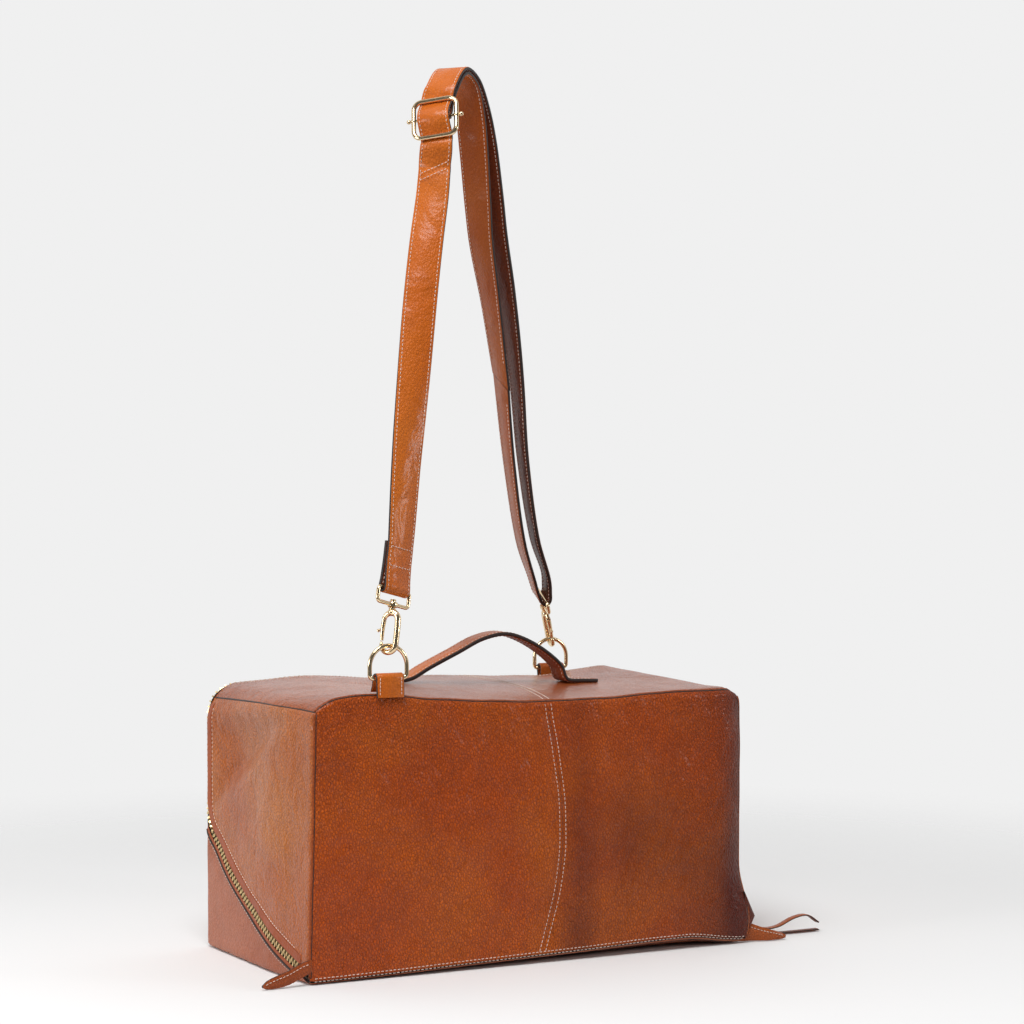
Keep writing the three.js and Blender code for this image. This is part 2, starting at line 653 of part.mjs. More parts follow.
// One of the two lengths beside the rear line, on the strap's outside or on its inside.
function besideRearLine(outside) {
  const middle = REAR_LINE.map(([run, height]) => inPlane(run, height));
  return REAR_LINE.map(([, , heading, apart], i) => {
    const before = middle[Math.max(i - 1, 0)];
    const after = i + 1 < middle.length ? middle[i + 1] : rearEye;
    const width = level(heading);
    const inward = after.clone().sub(before).cross(width).normalize();
    return station(middle[i].clone().addScaledVector(inward, ((outside ? -1 : 1) * apart) / 2), width);
  });
}

// The lower length: its tail is sewn up behind it, it folds round the front eye and rises to the splice.
function strapLower() {
  const at = (along, away) => aside(frontEye, frontHook.up, frontHook.eyeSide, along, away);
  const fold = EYE.wire + 0.4 + STRAP.thick / 2;
  return [
    at(46, 2.1),
    at(24, 2.3),
    at(9, 3.2),
    at(0, fold),
    at(-fold * 0.7, fold * 0.72),
    at(-fold, 0),
    at(-fold * 0.7, -fold * 0.72),
    at(0, -fold),
    at(9, -3.2),
    at(24, -2.3),
    at(46, -2.1),
    ...FRONT_LINE.map((line) => onLine(...line)),
    onLine(SPLICE.run, SPLICE.height, SPLICE.heading),
  ];
}

// The middle length: through the buckle, over the top, round the rear eye and up to the second splice.
function strapMiddle() {
  const at = (along, away) => aside(rearEye, rearHook.up, rearHook.eyeSide, along, away);
  const bar = BUCKLE.wire + 0.5 + STRAP.thick / 2;
  const fold = EYE.wire + 0.4 + STRAP.thick / 2;
  const rise = SPLICE.height + SPLICE_GAP;
  return [
    onLine(SPLICE.run + SPLICE_GAP * 0.3, rise, SPLICE.heading),
    onBuckle(-34, 0.5),
    onBuckle(-BUCKLE.rise, bar),
    onBuckle(0, -6),
    onBuckle(BUCKLE.rise, bar),
    ...besideRearLine(true),
    at(22, 8),
    at(9, 6.6),
    at(0, fold + 0.6),
    at(-fold, 0),
    at(0, -fold - 0.6),
    at(9, -6.6),
    at(22, -8),
    ...besideRearLine(false).slice(UPPER_SPLICE + 1).reverse(),
    besideRearLine(false)[UPPER_SPLICE],
  ];
}

// The upper length: from the second splice, under the top of the strap, to its end round the buckle's bar.
function strapUpper() {
  const wrap = BUCKLE.bar + 0.4 + STRAP.thick * 0.25;
  const start = besideRearLine(false)[UPPER_SPLICE];
  start.at.addScaledVector(Z, 2 * SPLICE_GAP);
  return [
    start,
    ...besideRearLine(false).slice(0, UPPER_SPLICE).reverse(),
    onBuckle(BUCKLE.rise, 9.2),
    onBuckle(8, 6.6, 0.7),
    onBuckle(2, wrap + 0.4, 0.5),
    onBuckle(-wrap * 0.7, wrap * 0.7, 0.5),
    onBuckle(-wrap, 0, 0.5),
    onBuckle(-wrap * 0.7, -wrap * 0.7, 0.5),
    onBuckle(0, -wrap, 0.5),
    onBuckle(wrap * 0.7, -wrap * 0.7, 0.5),
  ];
}

add("strap_lower", strap(strapLower()), TAN);
add("strap_middle", strap(strapMiddle()), TAN);
add("strap_upper", strap(strapUpper()), TAN);

function buckleFrame() {
  const { half, rise, corner, wire, boss, hole } = BUCKLE;
  const loop = wireLoop(roundedLoop(half, -rise, rise, corner), buckleOrigin, buckleSide, buckleUp, wire);
  const bored = rod(acrossBuckle(-half - 6), acrossBuckle(half + 6), hole);
  return cut(join(loop, ball(acrossBuckle(-half), boss), ball(acrossBuckle(half), boss)), bored);
}

function buckleBar() {
  const end = BUCKLE.half + BUCKLE.boss + 0.3 + BUCKLE.ball;
  const bar = rod(acrossBuckle(-end), acrossBuckle(end), BUCKLE.bar);
  return join(bar, ball(acrossBuckle(-end), BUCKLE.ball), ball(acrossBuckle(end), BUCKLE.ball));
}
add("buckle_frame", buckleFrame(), GOLD);
add("buckle_bar", buckleBar(), GOLD);

export default bag;
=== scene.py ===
import math

import bmesh
import bpy
import numpy as np
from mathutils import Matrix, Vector


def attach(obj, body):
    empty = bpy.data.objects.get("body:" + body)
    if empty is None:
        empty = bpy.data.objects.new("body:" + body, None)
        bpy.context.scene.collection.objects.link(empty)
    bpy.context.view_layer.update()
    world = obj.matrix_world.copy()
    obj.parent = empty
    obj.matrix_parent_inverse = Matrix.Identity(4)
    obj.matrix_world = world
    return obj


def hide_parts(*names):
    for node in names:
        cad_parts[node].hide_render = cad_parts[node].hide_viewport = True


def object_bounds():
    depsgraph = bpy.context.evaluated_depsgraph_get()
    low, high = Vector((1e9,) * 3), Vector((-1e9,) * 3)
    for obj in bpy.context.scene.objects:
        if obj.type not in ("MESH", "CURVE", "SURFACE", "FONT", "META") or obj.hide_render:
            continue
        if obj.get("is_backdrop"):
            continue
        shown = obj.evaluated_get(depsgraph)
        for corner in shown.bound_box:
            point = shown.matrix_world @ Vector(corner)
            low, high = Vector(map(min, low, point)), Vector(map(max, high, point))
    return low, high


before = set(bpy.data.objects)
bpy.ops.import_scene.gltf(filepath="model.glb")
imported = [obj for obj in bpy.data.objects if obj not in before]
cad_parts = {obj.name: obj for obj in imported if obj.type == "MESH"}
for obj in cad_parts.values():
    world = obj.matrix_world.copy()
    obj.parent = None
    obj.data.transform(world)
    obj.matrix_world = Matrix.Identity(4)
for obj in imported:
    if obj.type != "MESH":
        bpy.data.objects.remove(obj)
cad_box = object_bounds()

# Builders work in millimetres in the row frame, and meshes are made in metres.
MM = 0.001
LENGTH, DEPTH, HEIGHT = 500.0, 252.0, 265.0
HALF_X, HALF_Y = LENGTH / 2, DEPTH / 2
LEATHER_THICK = 3.0
ZIP_HALF = 4.4
X = np.array([1.0, 0.0, 0.0])
Y = np.array([0.0, 1.0, 0.0])
Z = np.array([0.0, 0.0, 1.0])


# ---------------------------------------------------------------- camera, floor and light
def make_camera():
    camera = bpy.data.objects.new("camera", bpy.data.cameras.new("camera"))
    bpy.context.scene.collection.objects.link(camera)
    camera.data.sensor_width = 36.0
    camera.data.lens = 96.3
    camera.location = (-1.30, -2.5465, 0.51)
    camera.rotation_euler = (math.radians(90 - 1.14), 0, math.radians(-27.84))
    bpy.context.scene.camera = camera


def make_floor():
    bpy.ops.mesh.primitive_circle_add(vertices=96, radius=6.0, fill_type="NGON", location=(0, 0, -0.0004))
    floor = bpy.context.object
    floor.name = "floor"
    mat = bpy.data.materials.new("floor")
    mat.use_nodes = True
    nodes, links = mat.node_tree.nodes, mat.node_tree.links
    nodes.clear()
    out = nodes.new("ShaderNodeOutputMaterial")
    mix = nodes.new("ShaderNodeMixShader")
    clear = nodes.new("ShaderNodeBsdfTransparent")
    paper = nodes.new("ShaderNodeBsdfDiffuse")
    paper.inputs["Color"].default_value = (0.82, 0.82, 0.82, 1)
    where = nodes.new("ShaderNodeTexCoord")
    length = nodes.new("ShaderNodeVectorMath")
    length.operation = "LENGTH"
    fade = nodes.new("ShaderNodeMapRange")
    fade.interpolation_type = "SMOOTHSTEP"
    fade.inputs["From Min"].default_value = 0.45
    fade.inputs["From Max"].default_value = 1.5
    links.new(where.outputs["Object"], length.inputs[0])
    links.new(length.outputs["Value"], fade.inputs["Value"])
    links.new(fade.outputs["Result"], mix.inputs["Fac"])
    links.new(paper.outputs[0], mix.inputs[1])
    links.new(clear.outputs[0], mix.inputs[2])
    links.new(mix.outputs[0], out.inputs["Surface"])
    floor.data.materials.append(mat)
    floor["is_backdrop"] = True


def area_light(name, place, target, size, watts):
    light = bpy.data.lights.new(name, "AREA")
    light.shape = "DISK"
    light.size = size
    light.energy = watts
    lamp = bpy.data.objects.new(name, light)
    bpy.context.scene.collection.objects.link(lamp)
    lamp.location = place
    lamp.rotation_euler = (Vector(target) - Vector(place)).to_track_quat("-Z", "Y").to_euler()


def make_light():
    world = bpy.data.worlds.new("studio")
    world.use_nodes = True
    nodes, links = world.node_tree.nodes, world.node_tree.links
    heading = nodes.new("ShaderNodeVectorMath")
    heading.operation = "DOT_PRODUCT"
    heading.inputs[1].default_value = (0.467, 0.884, 0.12)
    links.new(nodes.new("ShaderNodeTexCoord").outputs["Generated"], heading.inputs[0])
    bright = nodes.new("ShaderNodeMapRange")
    bright.interpolation_type = "SMOOTHSTEP"
    bright.inputs["From Min"].default_value = -0.45
    bright.inputs["From Max"].default_value = 0.75
    bright.inputs["To Min"].default_value = 0.12
    bright.inputs["To Max"].default_value = 0.871
    links.new(heading.outputs["Value"], bright.inputs["Value"])
    links.new(bright.outputs["Result"], nodes["Background"].inputs["Color"])
    bpy.context.scene.world = world
    bpy.context.scene.view_settings.view_transform = "Standard"
    area_light("key", (-1.0, -1.1, 2.6), (0, 0, 0.1), 1.5, 60)
    area_light("side", (-2.5, -0.2, 0.8), (-0.2, -0.1, 0.15), 0.9, 19)
    area_light("right", (1.9, -1.7, 0.8), (0.15, -0.1, 0.12), 0.5, 9)


# ---------------------------------------------------------------- materials
class Graph:
    """A material's nodes, with short calls for the ones used most."""

    def __init__(self, name):
        self.material = bpy.data.materials.new(name)
        self.material.use_nodes = True
        self.nodes = self.material.node_tree.nodes
        self.links = self.material.node_tree.links
        self.shader = self.nodes["Principled BSDF"]
        self.place = self.nodes.new("ShaderNodeTexCoord").outputs["Object"]

    def set(self, **values):
        for name, value in values.items():
            self.shader.inputs[name.replace("_", " ")].default_value = value

    def node(self, kind, inputs=None, **settings):
        made = self.nodes.new("ShaderNode" + kind)
        for name, value in settings.items():
            setattr(made, name, value)
        for key, value in (inputs or {}).items():
            if isinstance(value, bpy.types.NodeSocket):
                self.links.new(value, made.inputs[key])
            else:
                made.inputs[key].default_value = value
        return made

    def noise(self, scale, detail=4.0, rough=0.55, distortion=0.0, vector=None):
        made = self.node(
            "TexNoise",
            {"Scale": scale, "Detail": detail, "Roughness": rough, "Distortion": distortion,
             "Vector": vector or self.place},
        )
        return made.outputs["Fac"]

    def cells(self, scale, vector=None, feature="F1", output="Distance"):
        made = self.node("TexVoronoi", {"Scale": scale, "Vector": vector or self.place}, feature=feature)
        return made.outputs[output]

    def math(self, operation, a, b=0.0, clamp=False):
        made = self.node("Math", {0: a, 1: b}, operation=operation, use_clamp=clamp)
        return made.outputs[0]

    def ramp(self, value, low, high, to_low=0.0, to_high=1.0):
        made = self.node(
            "MapRange",
            {"Value": value, "From Min": low, "From Max": high, "To Min": to_low, "To Max": to_high},
            interpolation_type="SMOOTHSTEP",
        )
        return made.outputs["Result"]

    def mix(self, share, a, b):
        made = self.nodes.new("ShaderNodeMix")
        made.data_type = "RGBA"
        for socket, value in ((made.inputs[0], share), (made.inputs[6], a), (made.inputs[7], b)):
            if isinstance(value, bpy.types.NodeSocket):
                self.links.new(value, socket)
            else:
                socket.default_value = value
        return made.outputs[2]

    def bump(self, height, distance, strength=1.0, below=None):
        inputs = {"Height": height, "Distance": distance, "Strength": strength}
        if below is not None:
            inputs["Normal"] = below
        return self.node("Bump", inputs).outputs["Normal"]

    def use(self, socket, value):
        self.links.new(value, self.shader.inputs[socket])


def rgb(r, g, b):
    """A linear colour from an sRGB one in 0..255."""
    linear = [(c / 255 / 12.92) if c <= 10 else ((c / 255 + 0.055) / 1.055) ** 2.4 for c in (r, g, b)]
    return (*linear, 1.0)


def leather(name, plain, light, dark, darkening=0.0, gloss=0.42, grain=1.0, coat=0.24, where=None):
    """Pull-up leather: soft tones, pebble grain under a gloss, drawn wrinkles, and darker places from a mask; on
    the front these are burnish mixed with painted shade.
    """
    g = Graph(name)
    stretched = g.node("Mapping", {"Vector": g.place, "Rotation": (0.4, 0.9, 0.5), "Scale": (1.0, 1.0, 0.7)})
    stretched = stretched.outputs["Vector"]
    tone = g.noise(6.0, 3.0, 0.5, 0.4)
    mottle = g.noise(40.0, 4.0, 0.6)
    color = g.mix(g.ramp(tone, 0.35, 0.68), plain, light)
    color = g.mix(g.math("MULTIPLY", g.ramp(mottle, 0.50, 0.75), 0.14), color, dark)
    if darkening:
        # Darkening from a mask: on the front it is burnish mixed with painted shade.
        color = g.mix(g.math("MULTIPLY", (where or burnish_and_shade)(g), darkening, True), color, dark)
    wander = g.node("TexNoise", {"Scale": 120.0, "Vector": stretched}).outputs["Color"]
    wander = g.node("VectorMath", {0: wander, "Scale": 0.003}, operation="SCALE").outputs[0]
    warped = g.node("VectorMath", {0: stretched, 1: wander}, operation="ADD").outputs[0]
    pebble = g.cells(400.0, warped, "SMOOTH_F1")
    valley = g.ramp(g.cells(400.0, warped, "DISTANCE_TO_EDGE"), 0.0, 0.25)
    shade = g.node("SeparateColor", {0: g.cells(400.0, warped, "F1", "Color")}).outputs[0]
    fold = g.ramp(g.noise(34.0, 4.0, 0.6, 1.2, stretched), 0.34, 0.60)
    color = g.mix(g.math("MULTIPLY", shade, 0.05 * grain), color, dark)
    color = g.mix(g.math("MULTIPLY", g.math("SUBTRACT", 1.0, valley), 0.46 * grain), color, dark)
    color = g.mix(g.math("MULTIPLY", g.math("SUBTRACT", 1.0, fold), 0.12 * grain), color, dark)
    g.use("Base Color", color)
    soft = g.bump(g.noise(20.0, 3.0, 0.5, 0.8), 0.005, 0.6)
    soft = g.bump(fold, 0.0010 * grain, 0.7, soft)
    normal = g.bump(valley, 0.0006 * grain, 1.0, soft)
    normal = g.bump(g.math("SUBTRACT", 1.0, pebble), 0.0015 * grain, 1.0, normal)
    g.use("Normal", normal)
    g.use("Coat Normal", g.bump(g.math("SUBTRACT", 1.0, pebble), 0.0005 * grain, 0.5, soft))
    rough = g.math("ADD", g.math("MULTIPLY", mottle, 0.14), gloss)
    g.use("Roughness", rough)
    g.set(Coat_Weight=coat, Coat_Roughness=0.20, Specular_IOR_Level=0.16)
    return g.material


def far_strands(g):
    """The strap's rear strands, which are darker than the front one."""
    return g.ramp(g.node("SeparateXYZ", {0: g.place}).outputs["X"], -0.04, -0.005)


def burnish_and_shade(g):
    """Where the front is darker, from burnish mixed with painted shade: its right edge, beside the centre seam,
    and a patch between them.
    """
    axes = g.node("SeparateXYZ", {0: g.place})
    across, upward = axes.outputs["X"], axes.outputs["Z"]
    wave = g.ramp(g.noise(7.0, 3.0, 0.5, 0.5), 0.25, 0.75, 0.45, 1.0)
    # Painted shade mixed with burnish: darker towards the rounded right edge, low down, in a band beside the
    # centre seam, and over the dent right of it.
    edge = g.ramp(across, 0.13, 0.25, 0.0, 0.62)
    edge = g.math("ADD", edge, g.ramp(across, 0.215, 0.252, 0.0, 0.45))
    low = g.math("MULTIPLY", g.ramp(upward, 0.20, 0.03, 0.0, 0.35), g.ramp(across, -0.05, 0.10))
    band = g.ramp(g.math("ABSOLUTE", g.math("SUBTRACT", across, 0.054)), 0.0, 0.035, 0.55, 0.0)
    centre = g.node("VectorMath", {0: g.place, 1: (0.13, -0.126, 0.135)}, operation="DISTANCE")
    centre = centre.outputs["Value"]
    patch = g.ramp(centre, 0.0, 0.10, 0.60, 0.0)
    share = g.math("ADD", g.math("ADD", edge, low), g.math("ADD", band, patch))
    return g.math("MULTIPLY", share, wave)


def metal(name, color, shade, rough, wear):
    """Plated metal with faint polishing marks, and darker in places when it is antique."""
    g = Graph(name)
    stain = g.ramp(g.noise(160.0, 5.0, 0.6), 0.45, 0.70)
    g.use("Base Color", g.mix(g.math("MULTIPLY", stain, wear), color, shade))
    g.use("Roughness", g.math("ADD", g.math("MULTIPLY", g.noise(420.0, 3.0), 0.16), rough - 0.06))
    g.use("Normal", g.bump(g.noise(700.0, 2.0), 0.00008, 0.4))
    g.set(Metallic=1.0)
    return g.material


def woven(name, color, shade, scale):
    """Cloth: fine threads as small cells, with a slow change of tone."""
    g = Graph(name)
    threads = g.cells(scale, g.place, "F1")
    tone = g.noise(9.0, 3.0)
    cloth = g.mix(g.ramp(tone, 0.3, 0.7), color, shade)
    g.use("Base Color", g.mix(g.math("MULTIPLY", g.ramp(threads, 0.2, 0.9), 0.5), cloth, shade))
    g.use("Normal", g.bump(threads, 0.0003, 0.6))
    g.set(Roughness=0.85, Sheen_Weight=0.25, Sheen_Roughness=0.5)
    return g.material


def plain_rough(name, color, shade, scale, rough, depth):
    """Edge paint, thread or board: a slightly uneven colour and surface."""
    g = Graph(name)
    patch = g.noise(scale, 4.0)
    g.use("Base Color", g.mix(g.ramp(patch, 0.35, 0.65), color, shade))
    g.use("Normal", g.bump(g.noise(scale * 4, 3.0), depth, 0.6))
    g.set(Roughness=rough)
    return g.material


# The front's leather: its darkening is burnish mixed with painted shade.
TAN = leather("leather_tan", rgb(192, 80, 6), rgb(212, 102, 12), rgb(88, 26, 6), darkening=0.85, gloss=0.36)
TAN_END = leather("leather_end", rgb(192, 96, 24), rgb(210, 122, 44), rgb(112, 48, 12), gloss=0.34, coat=0.6)
TAN_BASE = leather(
    "leather_base", rgb(172, 98, 68), rgb(186, 116, 88), rgb(108, 52, 32),
    gloss=0.45, grain=0.6,
)
TAN_TOP = leather("leather_top", rgb(176, 84, 26), rgb(194, 102, 40), rgb(98, 38, 16), gloss=0.32, coat=0.6)
FACING = leather(
    "leather_facing", rgb(150, 68, 26), rgb(162, 78, 32), rgb(98, 42, 18),
    gloss=0.34, grain=0.15,
)
# Its rear strands are made darker by their place along x, through far_strands.
STRAP_TAN = leather(
    "leather_strap", rgb(192, 92, 20), rgb(206, 110, 34), rgb(98, 38, 12),
    darkening=0.5, gloss=0.36, grain=0.3, coat=0.3, where=far_strands,
)
STRAP_BACK = leather(
    "leather_strap_back", rgb(120, 50, 18), rgb(134, 62, 24), rgb(72, 30, 14),
    gloss=0.5, grain=0.5,
)
TAN_DEEP = leather("leather_deep", rgb(160, 74, 28), rgb(174, 86, 34), rgb(88, 38, 18), grain=0.6)
SUEDE = leather(
    "leather_inside", rgb(120, 78, 52), rgb(136, 92, 62), rgb(90, 56, 36),
    gloss=0.75, grain=0.4, coat=0.0,
)
EDGE = plain_rough("edge_paint", rgb(30, 18, 15), rgb(44, 26, 20), 120.0, 0.5, 0.0002)
SEAM_DARK = plain_rough("seam_leather", rgb(104, 50, 26), rgb(78, 36, 20), 180.0, 0.5, 0.0003)
THREAD = plain_rough("thread", rgb(232, 212, 200), rgb(210, 186, 172), 300.0, 0.7, 0.0003)
LINING = woven("lining_cloth", rgb(112, 88, 68), rgb(84, 64, 50), 900.0)
TAPE_CLOTH = woven("zip_tape_cloth", rgb(40, 28, 22), rgb(22, 16, 13), 1200.0)
BOARD = plain_rough("board", rgb(140, 122, 100), rgb(118, 102, 84), 90.0, 0.9, 0.0003)
OLD_BRASS = metal("old_brass", rgb(240, 212, 156), rgb(170, 136, 84), 0.30, 0.25)
GOLD = metal("pale_gold", rgb(238, 212, 172), rgb(206, 168, 120), 0.13, 0.3)


# ---------------------------------------------------------------- vectors and meshes
def unit(v):
    v = np.asarray(v, float)
    return v / np.maximum(np.linalg.norm(v, axis=-1, keepdims=True), 1e-9)


def smooth(t):
    t = np.clip(t, 0, 1)
    return t * t * (3 - 2 * t)


def build(name, points, faces, materials, kinds=None, soft=True):
    """A mesh from points in millimetres. kinds gives each face's material index."""
    mesh = bpy.data.meshes.new(name)
    mesh.from_pydata([tuple(p) for p in np.asarray(points, float) * MM], [], [tuple(f) for f in faces])
    for material in materials:
        mesh.materials.append(material)
    if kinds is not None:
        mesh.polygons.foreach_set("material_index", np.asarray(kinds, np.int32))
    mesh.polygons.foreach_set("use_smooth", [soft] * len(mesh.polygons))
    mesh.update()
    thing = bpy.data.objects.new(name, mesh)
    bpy.context.scene.collection.objects.link(thing)
    return thing


def faced_out(thing, join=0.0):
    """Turns every face outwards, after joining points that fall together."""
    made = bmesh.new()
    made.from_mesh(thing.data)
    if join:
        bmesh.ops.remove_doubles(made, verts=made.verts, dist=join)
    bmesh.ops.recalc_face_normals(made, faces=made.faces)
    made.to_mesh(thing.data)
    made.free()
    return thing


def keep_edges(thing, degrees=40):
    """Splits the shading at sharp edges, so flat faces stay flat beside round ones."""
    modifier = thing.modifiers.new("edges", "EDGE_SPLIT")
    modifier.split_angle = math.radians(degrees)
    return thing


def place(thing, body, slot, *nodes):
    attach(thing, body)
    if nodes:
        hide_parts(*nodes)
    return thing


# ---------------------------------------------------------------- the bag's form
def hump(x, middle, width):
    return np.exp(-(((x - middle) / width) ** 2))


def corner_radius(x, y):
    """How round the upper end corners are, seen from the front."""
    rear = smooth((y + HALF_Y) / DEPTH)
    front = 8 + 16 * smooth((x + 60) / 240)
    return front * (1 - rear) + 28 * rear


def edge_radius(x):
    return 6 + 5 * smooth((x - 120) / 130)


def rounded(p):
    """The ideal box with its edges rounded: first the upper end corners, then every edge."""
    p = np.array(p, float)
    x, y, z = p[..., 0].copy(), p[..., 1], p[..., 2].copy()
    r = corner_radius(x, y)
    qx = np.clip(x, -HALF_X + r, HALF_X - r)
    qz = np.minimum(z, HEIGHT - r)
    dx, dz = x - qx, z - qz
    long = np.maximum(np.abs(dx), np.abs(dz))
    scale = long / np.maximum(np.hypot(dx, dz), 1e-9)
    scale = np.where(long < 1e-9, 1.0, scale)
    x, z = qx + dx * scale, qz + dz * scale
    p = np.stack([x, y, z], -1)
    r = edge_radius(p[..., 0])[..., None]
    low = np.array([-HALF_X, -HALF_Y, 0.0]) + r
    high = np.array([HALF_X, HALF_Y, HEIGHT]) - r
    q = np.clip(p, low, high)
    d = p - q
    long = np.abs(d).max(-1, keepdims=True)
    span = np.maximum(np.linalg.norm(d, axis=-1, keepdims=True), 1e-9)
    return np.where(long < 1e-9, p, q + d * long / span)


# How far the leather stands above the ideal top, along its front edge, its middle and its rear edge, and how far
# the front's lower edge stands off the floor. Each row is (x, millimetres).
FRONT_TOP = [
    (-250, 0), (-240, 5), (-226, 12.5), (-200, 14.5), (-172, 14.5), (-120, 8), (-59, 3.5), (0, 0),
    (24, -0.5), (70, 0.5), (120, 1.5), (204, 5), (234, 5), (250, -1),
]
MIDDLE_TOP = [
    (-250, 3), (-225, 10), (-180, 14), (-86, 13), (0, 8.5), (60, 6), (104, 5.5), (145, 5.5), (200, 8),
    (235, 8), (250, 1),
]
REAR_TOP = [
    (-250, -1), (-226, 10), (-184, 12), (-134, 14), (-73, 9), (12, 8), (71, 7), (146, 3), (182, 9),
    (225, 14), (250, 4),
]
FRONT_FOOT = [
    (-250, 0), (-205, 0.4), (-130, 2), (-58, 4), (60, 6.5), (140, 9), (192, 9), (222, 3), (236, 0.5),
    (250, 0.5),
]


def curve(x, rows):
    """A smooth line through rows of (x, value)."""
    rows = np.asarray(rows, float)
    knots = np.linspace(rows[0, 0], rows[-1, 0], 401)
    values = np.interp(knots, rows[:, 0], rows[:, 1])
    soft = np.ones(17) / 17
    values = np.convolve(np.pad(values, 8, mode="reflect", reflect_type="odd"), soft, mode="valid")
    return np.interp(x, knots, values)


def sag(p):
    """How the soft leather settles away from the ideal box, in millimetres."""
    x, y, z = p[..., 0], p[..., 1], p[..., 2]
    u, v, w = x / HALF_X, y / HALF_Y, z / HEIGHT
    rear = smooth((v + 1) / 2)
    top = curve(x, FRONT_TOP) * v * (v - 1) / 2 + curve(x, MIDDLE_TOP) * (1 - v**2)
    top = top + curve(x, REAR_TOP) * v * (v + 1) / 2
    up = top * smooth((w - 0.3) / 0.7) ** 1.5
    arch = curve(x, FRONT_FOOT) * hump(y, -HALF_Y, 22) * (1 - smooth(w / 0.3))
    front = 1 - smooth((v + 1) / 0.5)
    belly = -3.2 * np.sin(np.pi * np.clip(w, 0, 1)) * (1 - u**4)
    seam = 2.6 * hump(x, seam_x(z), 9) * smooth(w / 0.1) * smooth((1 - w) / 0.06)
    hollow = 2.2 * hump(x, -70, 60) * hump(z, 205, 40) + 2.4 * hump(x, 140, 60) * hump(z, 120, 60)
    turned_back = 10 * smooth((u - 0.82) / 0.18) ** 2 * smooth((z - 30) / 50)
    dy = front * (belly + seam + hollow + turned_back)
    dy = dy + smooth((v - 0.5) / 0.5) * (2.0 * np.sin(np.pi * np.clip(w, 0, 1)) * (1 - u**2))
    left = 1 - smooth((u + 1) / 0.35)
    right = smooth((u - 0.65) / 0.35)
    # The left end: a soft fold runs down from the upper front corner to the zip, with a flatter facet behind.
    above = (y + HALF_Y) * 0.49 + (z - HEIGHT) * 0.87
    facet = smooth(above / 30) * smooth((HALF_Y - y) / 70) * smooth((HEIGHT - z) / 45)
    dish = np.sin(np.pi * np.clip((v + 1) / 2, 0, 1)) * np.sin(np.pi * np.clip(w, 0, 1))
    corner = 6.5 + 5.0 * smooth(w)
    corner = corner * (1 - smooth((v + 1) / 0.75))
    dx = left * (corner + 1.5 * dish + 11.0 * facet)
    dx = dx + right * (8.5 * (1 - smooth((v + 1) / 0.28)) - 2.0 * dish)
    flare = hump(z, 26, 30) * (1 - smooth((v + 1) / 0.22))
    dx = dx + smooth((u - 0.86) / 0.14) * 7.0 * flare
    ripple = 0.8 * np.sin(x / 23 + 1.3 * np.sin(z / 31)) * np.sin(z / 27 + y / 35 + 0.7)
    ripple = ripple + 0.55 * np.sin(x / 11 + z / 14 + 1.1 * np.sin(y / 17)) * np.sin(z / 19 - x / 37)
    inland = smooth((1 - np.abs(v)) / 0.25) * smooth(w / 0.2) * smooth((1 - w) / 0.12)
    dy = dy + ripple * smooth(w / 0.15) * smooth((1 - w) / 0.1) * np.sign(v) * smooth((np.abs(v) - 0.6) / 0.4)
    dx = dx + ripple * inland * 1.3 * (left - right)
    up = up + ripple * 0.8 * smooth((w - 0.8) / 0.2) * smooth((1 - np.abs(u)) / 0.15)
    return np.stack([dx, dy, up + arch], -1)


def seam_x(z):
    """Where the centre seam runs at a height on the front."""
    w = np.clip(np.asarray(z, float) / HEIGHT, 0, 1)
    return 11 + 8 * w + 21 * np.sin(np.pi * w**0.92)


def seam_top_x(y):
    """Where the centre seam runs across the top."""
    t = np.clip((np.asarray(y, float) + HALF_Y) / DEPTH, 0, 1)
    return 19 + 28 * np.sin(np.pi * np.minimum(t * 0.75, 0.6))


def body(p):
    """A point of the ideal box, or a little off it, on the bag as it really stands."""
    p = rounded(p)
    return p + sag(p)


def inset(p, depth):
    """The same point on a smaller box inside, so that walls keep their thickness round the corners."""
    low = [-HALF_X + depth, -HALF_Y + depth, depth]
    return np.clip(p, low, [HALF_X - depth, HALF_Y - depth, HEIGHT - depth])


def ticks(a, b, step=7.0, near=(0, 0.8, 1.8, 3.0, 4.4, 6.2, 8.6)):
    """Places from a to b, closer together near both ends."""
    span = abs(b - a)
    sign = 1 if b > a else -1
    n = max(2, int(round((span - 2 * near[-1]) / step)))
    inner = list(np.linspace(near[-1], span - near[-1], n + 1))
    steps = [*near[:-1], *inner, *[span - t for t in reversed(near[:-1])]]
    return np.array([a + sign * t for t in steps])


def shell(name, grid, outer, depth=LEATHER_THICK, start=0.0, inner=SUEDE, rim=EDGE):
    """A closed sheet between two depths under the ideal box's surface. grid is rows x columns x 3."""
    top = body(inset(grid, start) if start else grid)
    return slab(name, top, body(inset(grid, start + depth)), [outer, rim, inner])


def slab(name, top, low, materials):
    """A closed sheet between two grids of points. materials are outer face, rim and inner face."""
    rows, cols = top.shape[:2]
    top, low = top.reshape(-1, 3), low.reshape(-1, 3)
    n = rows * cols
    def at(i, j):
        return i * cols + j

    faces, kinds = [], []
    for i in range(rows - 1):
        for j in range(cols - 1):
            a, b, c, d = at(i, j), at(i + 1, j), at(i + 1, j + 1), at(i, j + 1)
            faces += [(a, b, c, d), (n + d, n + c, n + b, n + a)]
            kinds += [0, 2]
    rims = [at(0, j) for j in range(cols)] + [at(i, cols - 1) for i in range(1, rows)]
    rims += [at(rows - 1, j) for j in range(cols - 2, -1, -1)] + [at(i, 0) for i in range(rows - 2, 0, -1)]
    for a, b in zip(rims, rims[1:] + rims[:1]):
        faces.append((a, b, n + b, n + a))
        kinds.append(1)
    thing = build(name, np.vstack([top, low]), faces, materials, kinds)
    return keep_edges(faced_out(thing, 1e-6), 50)


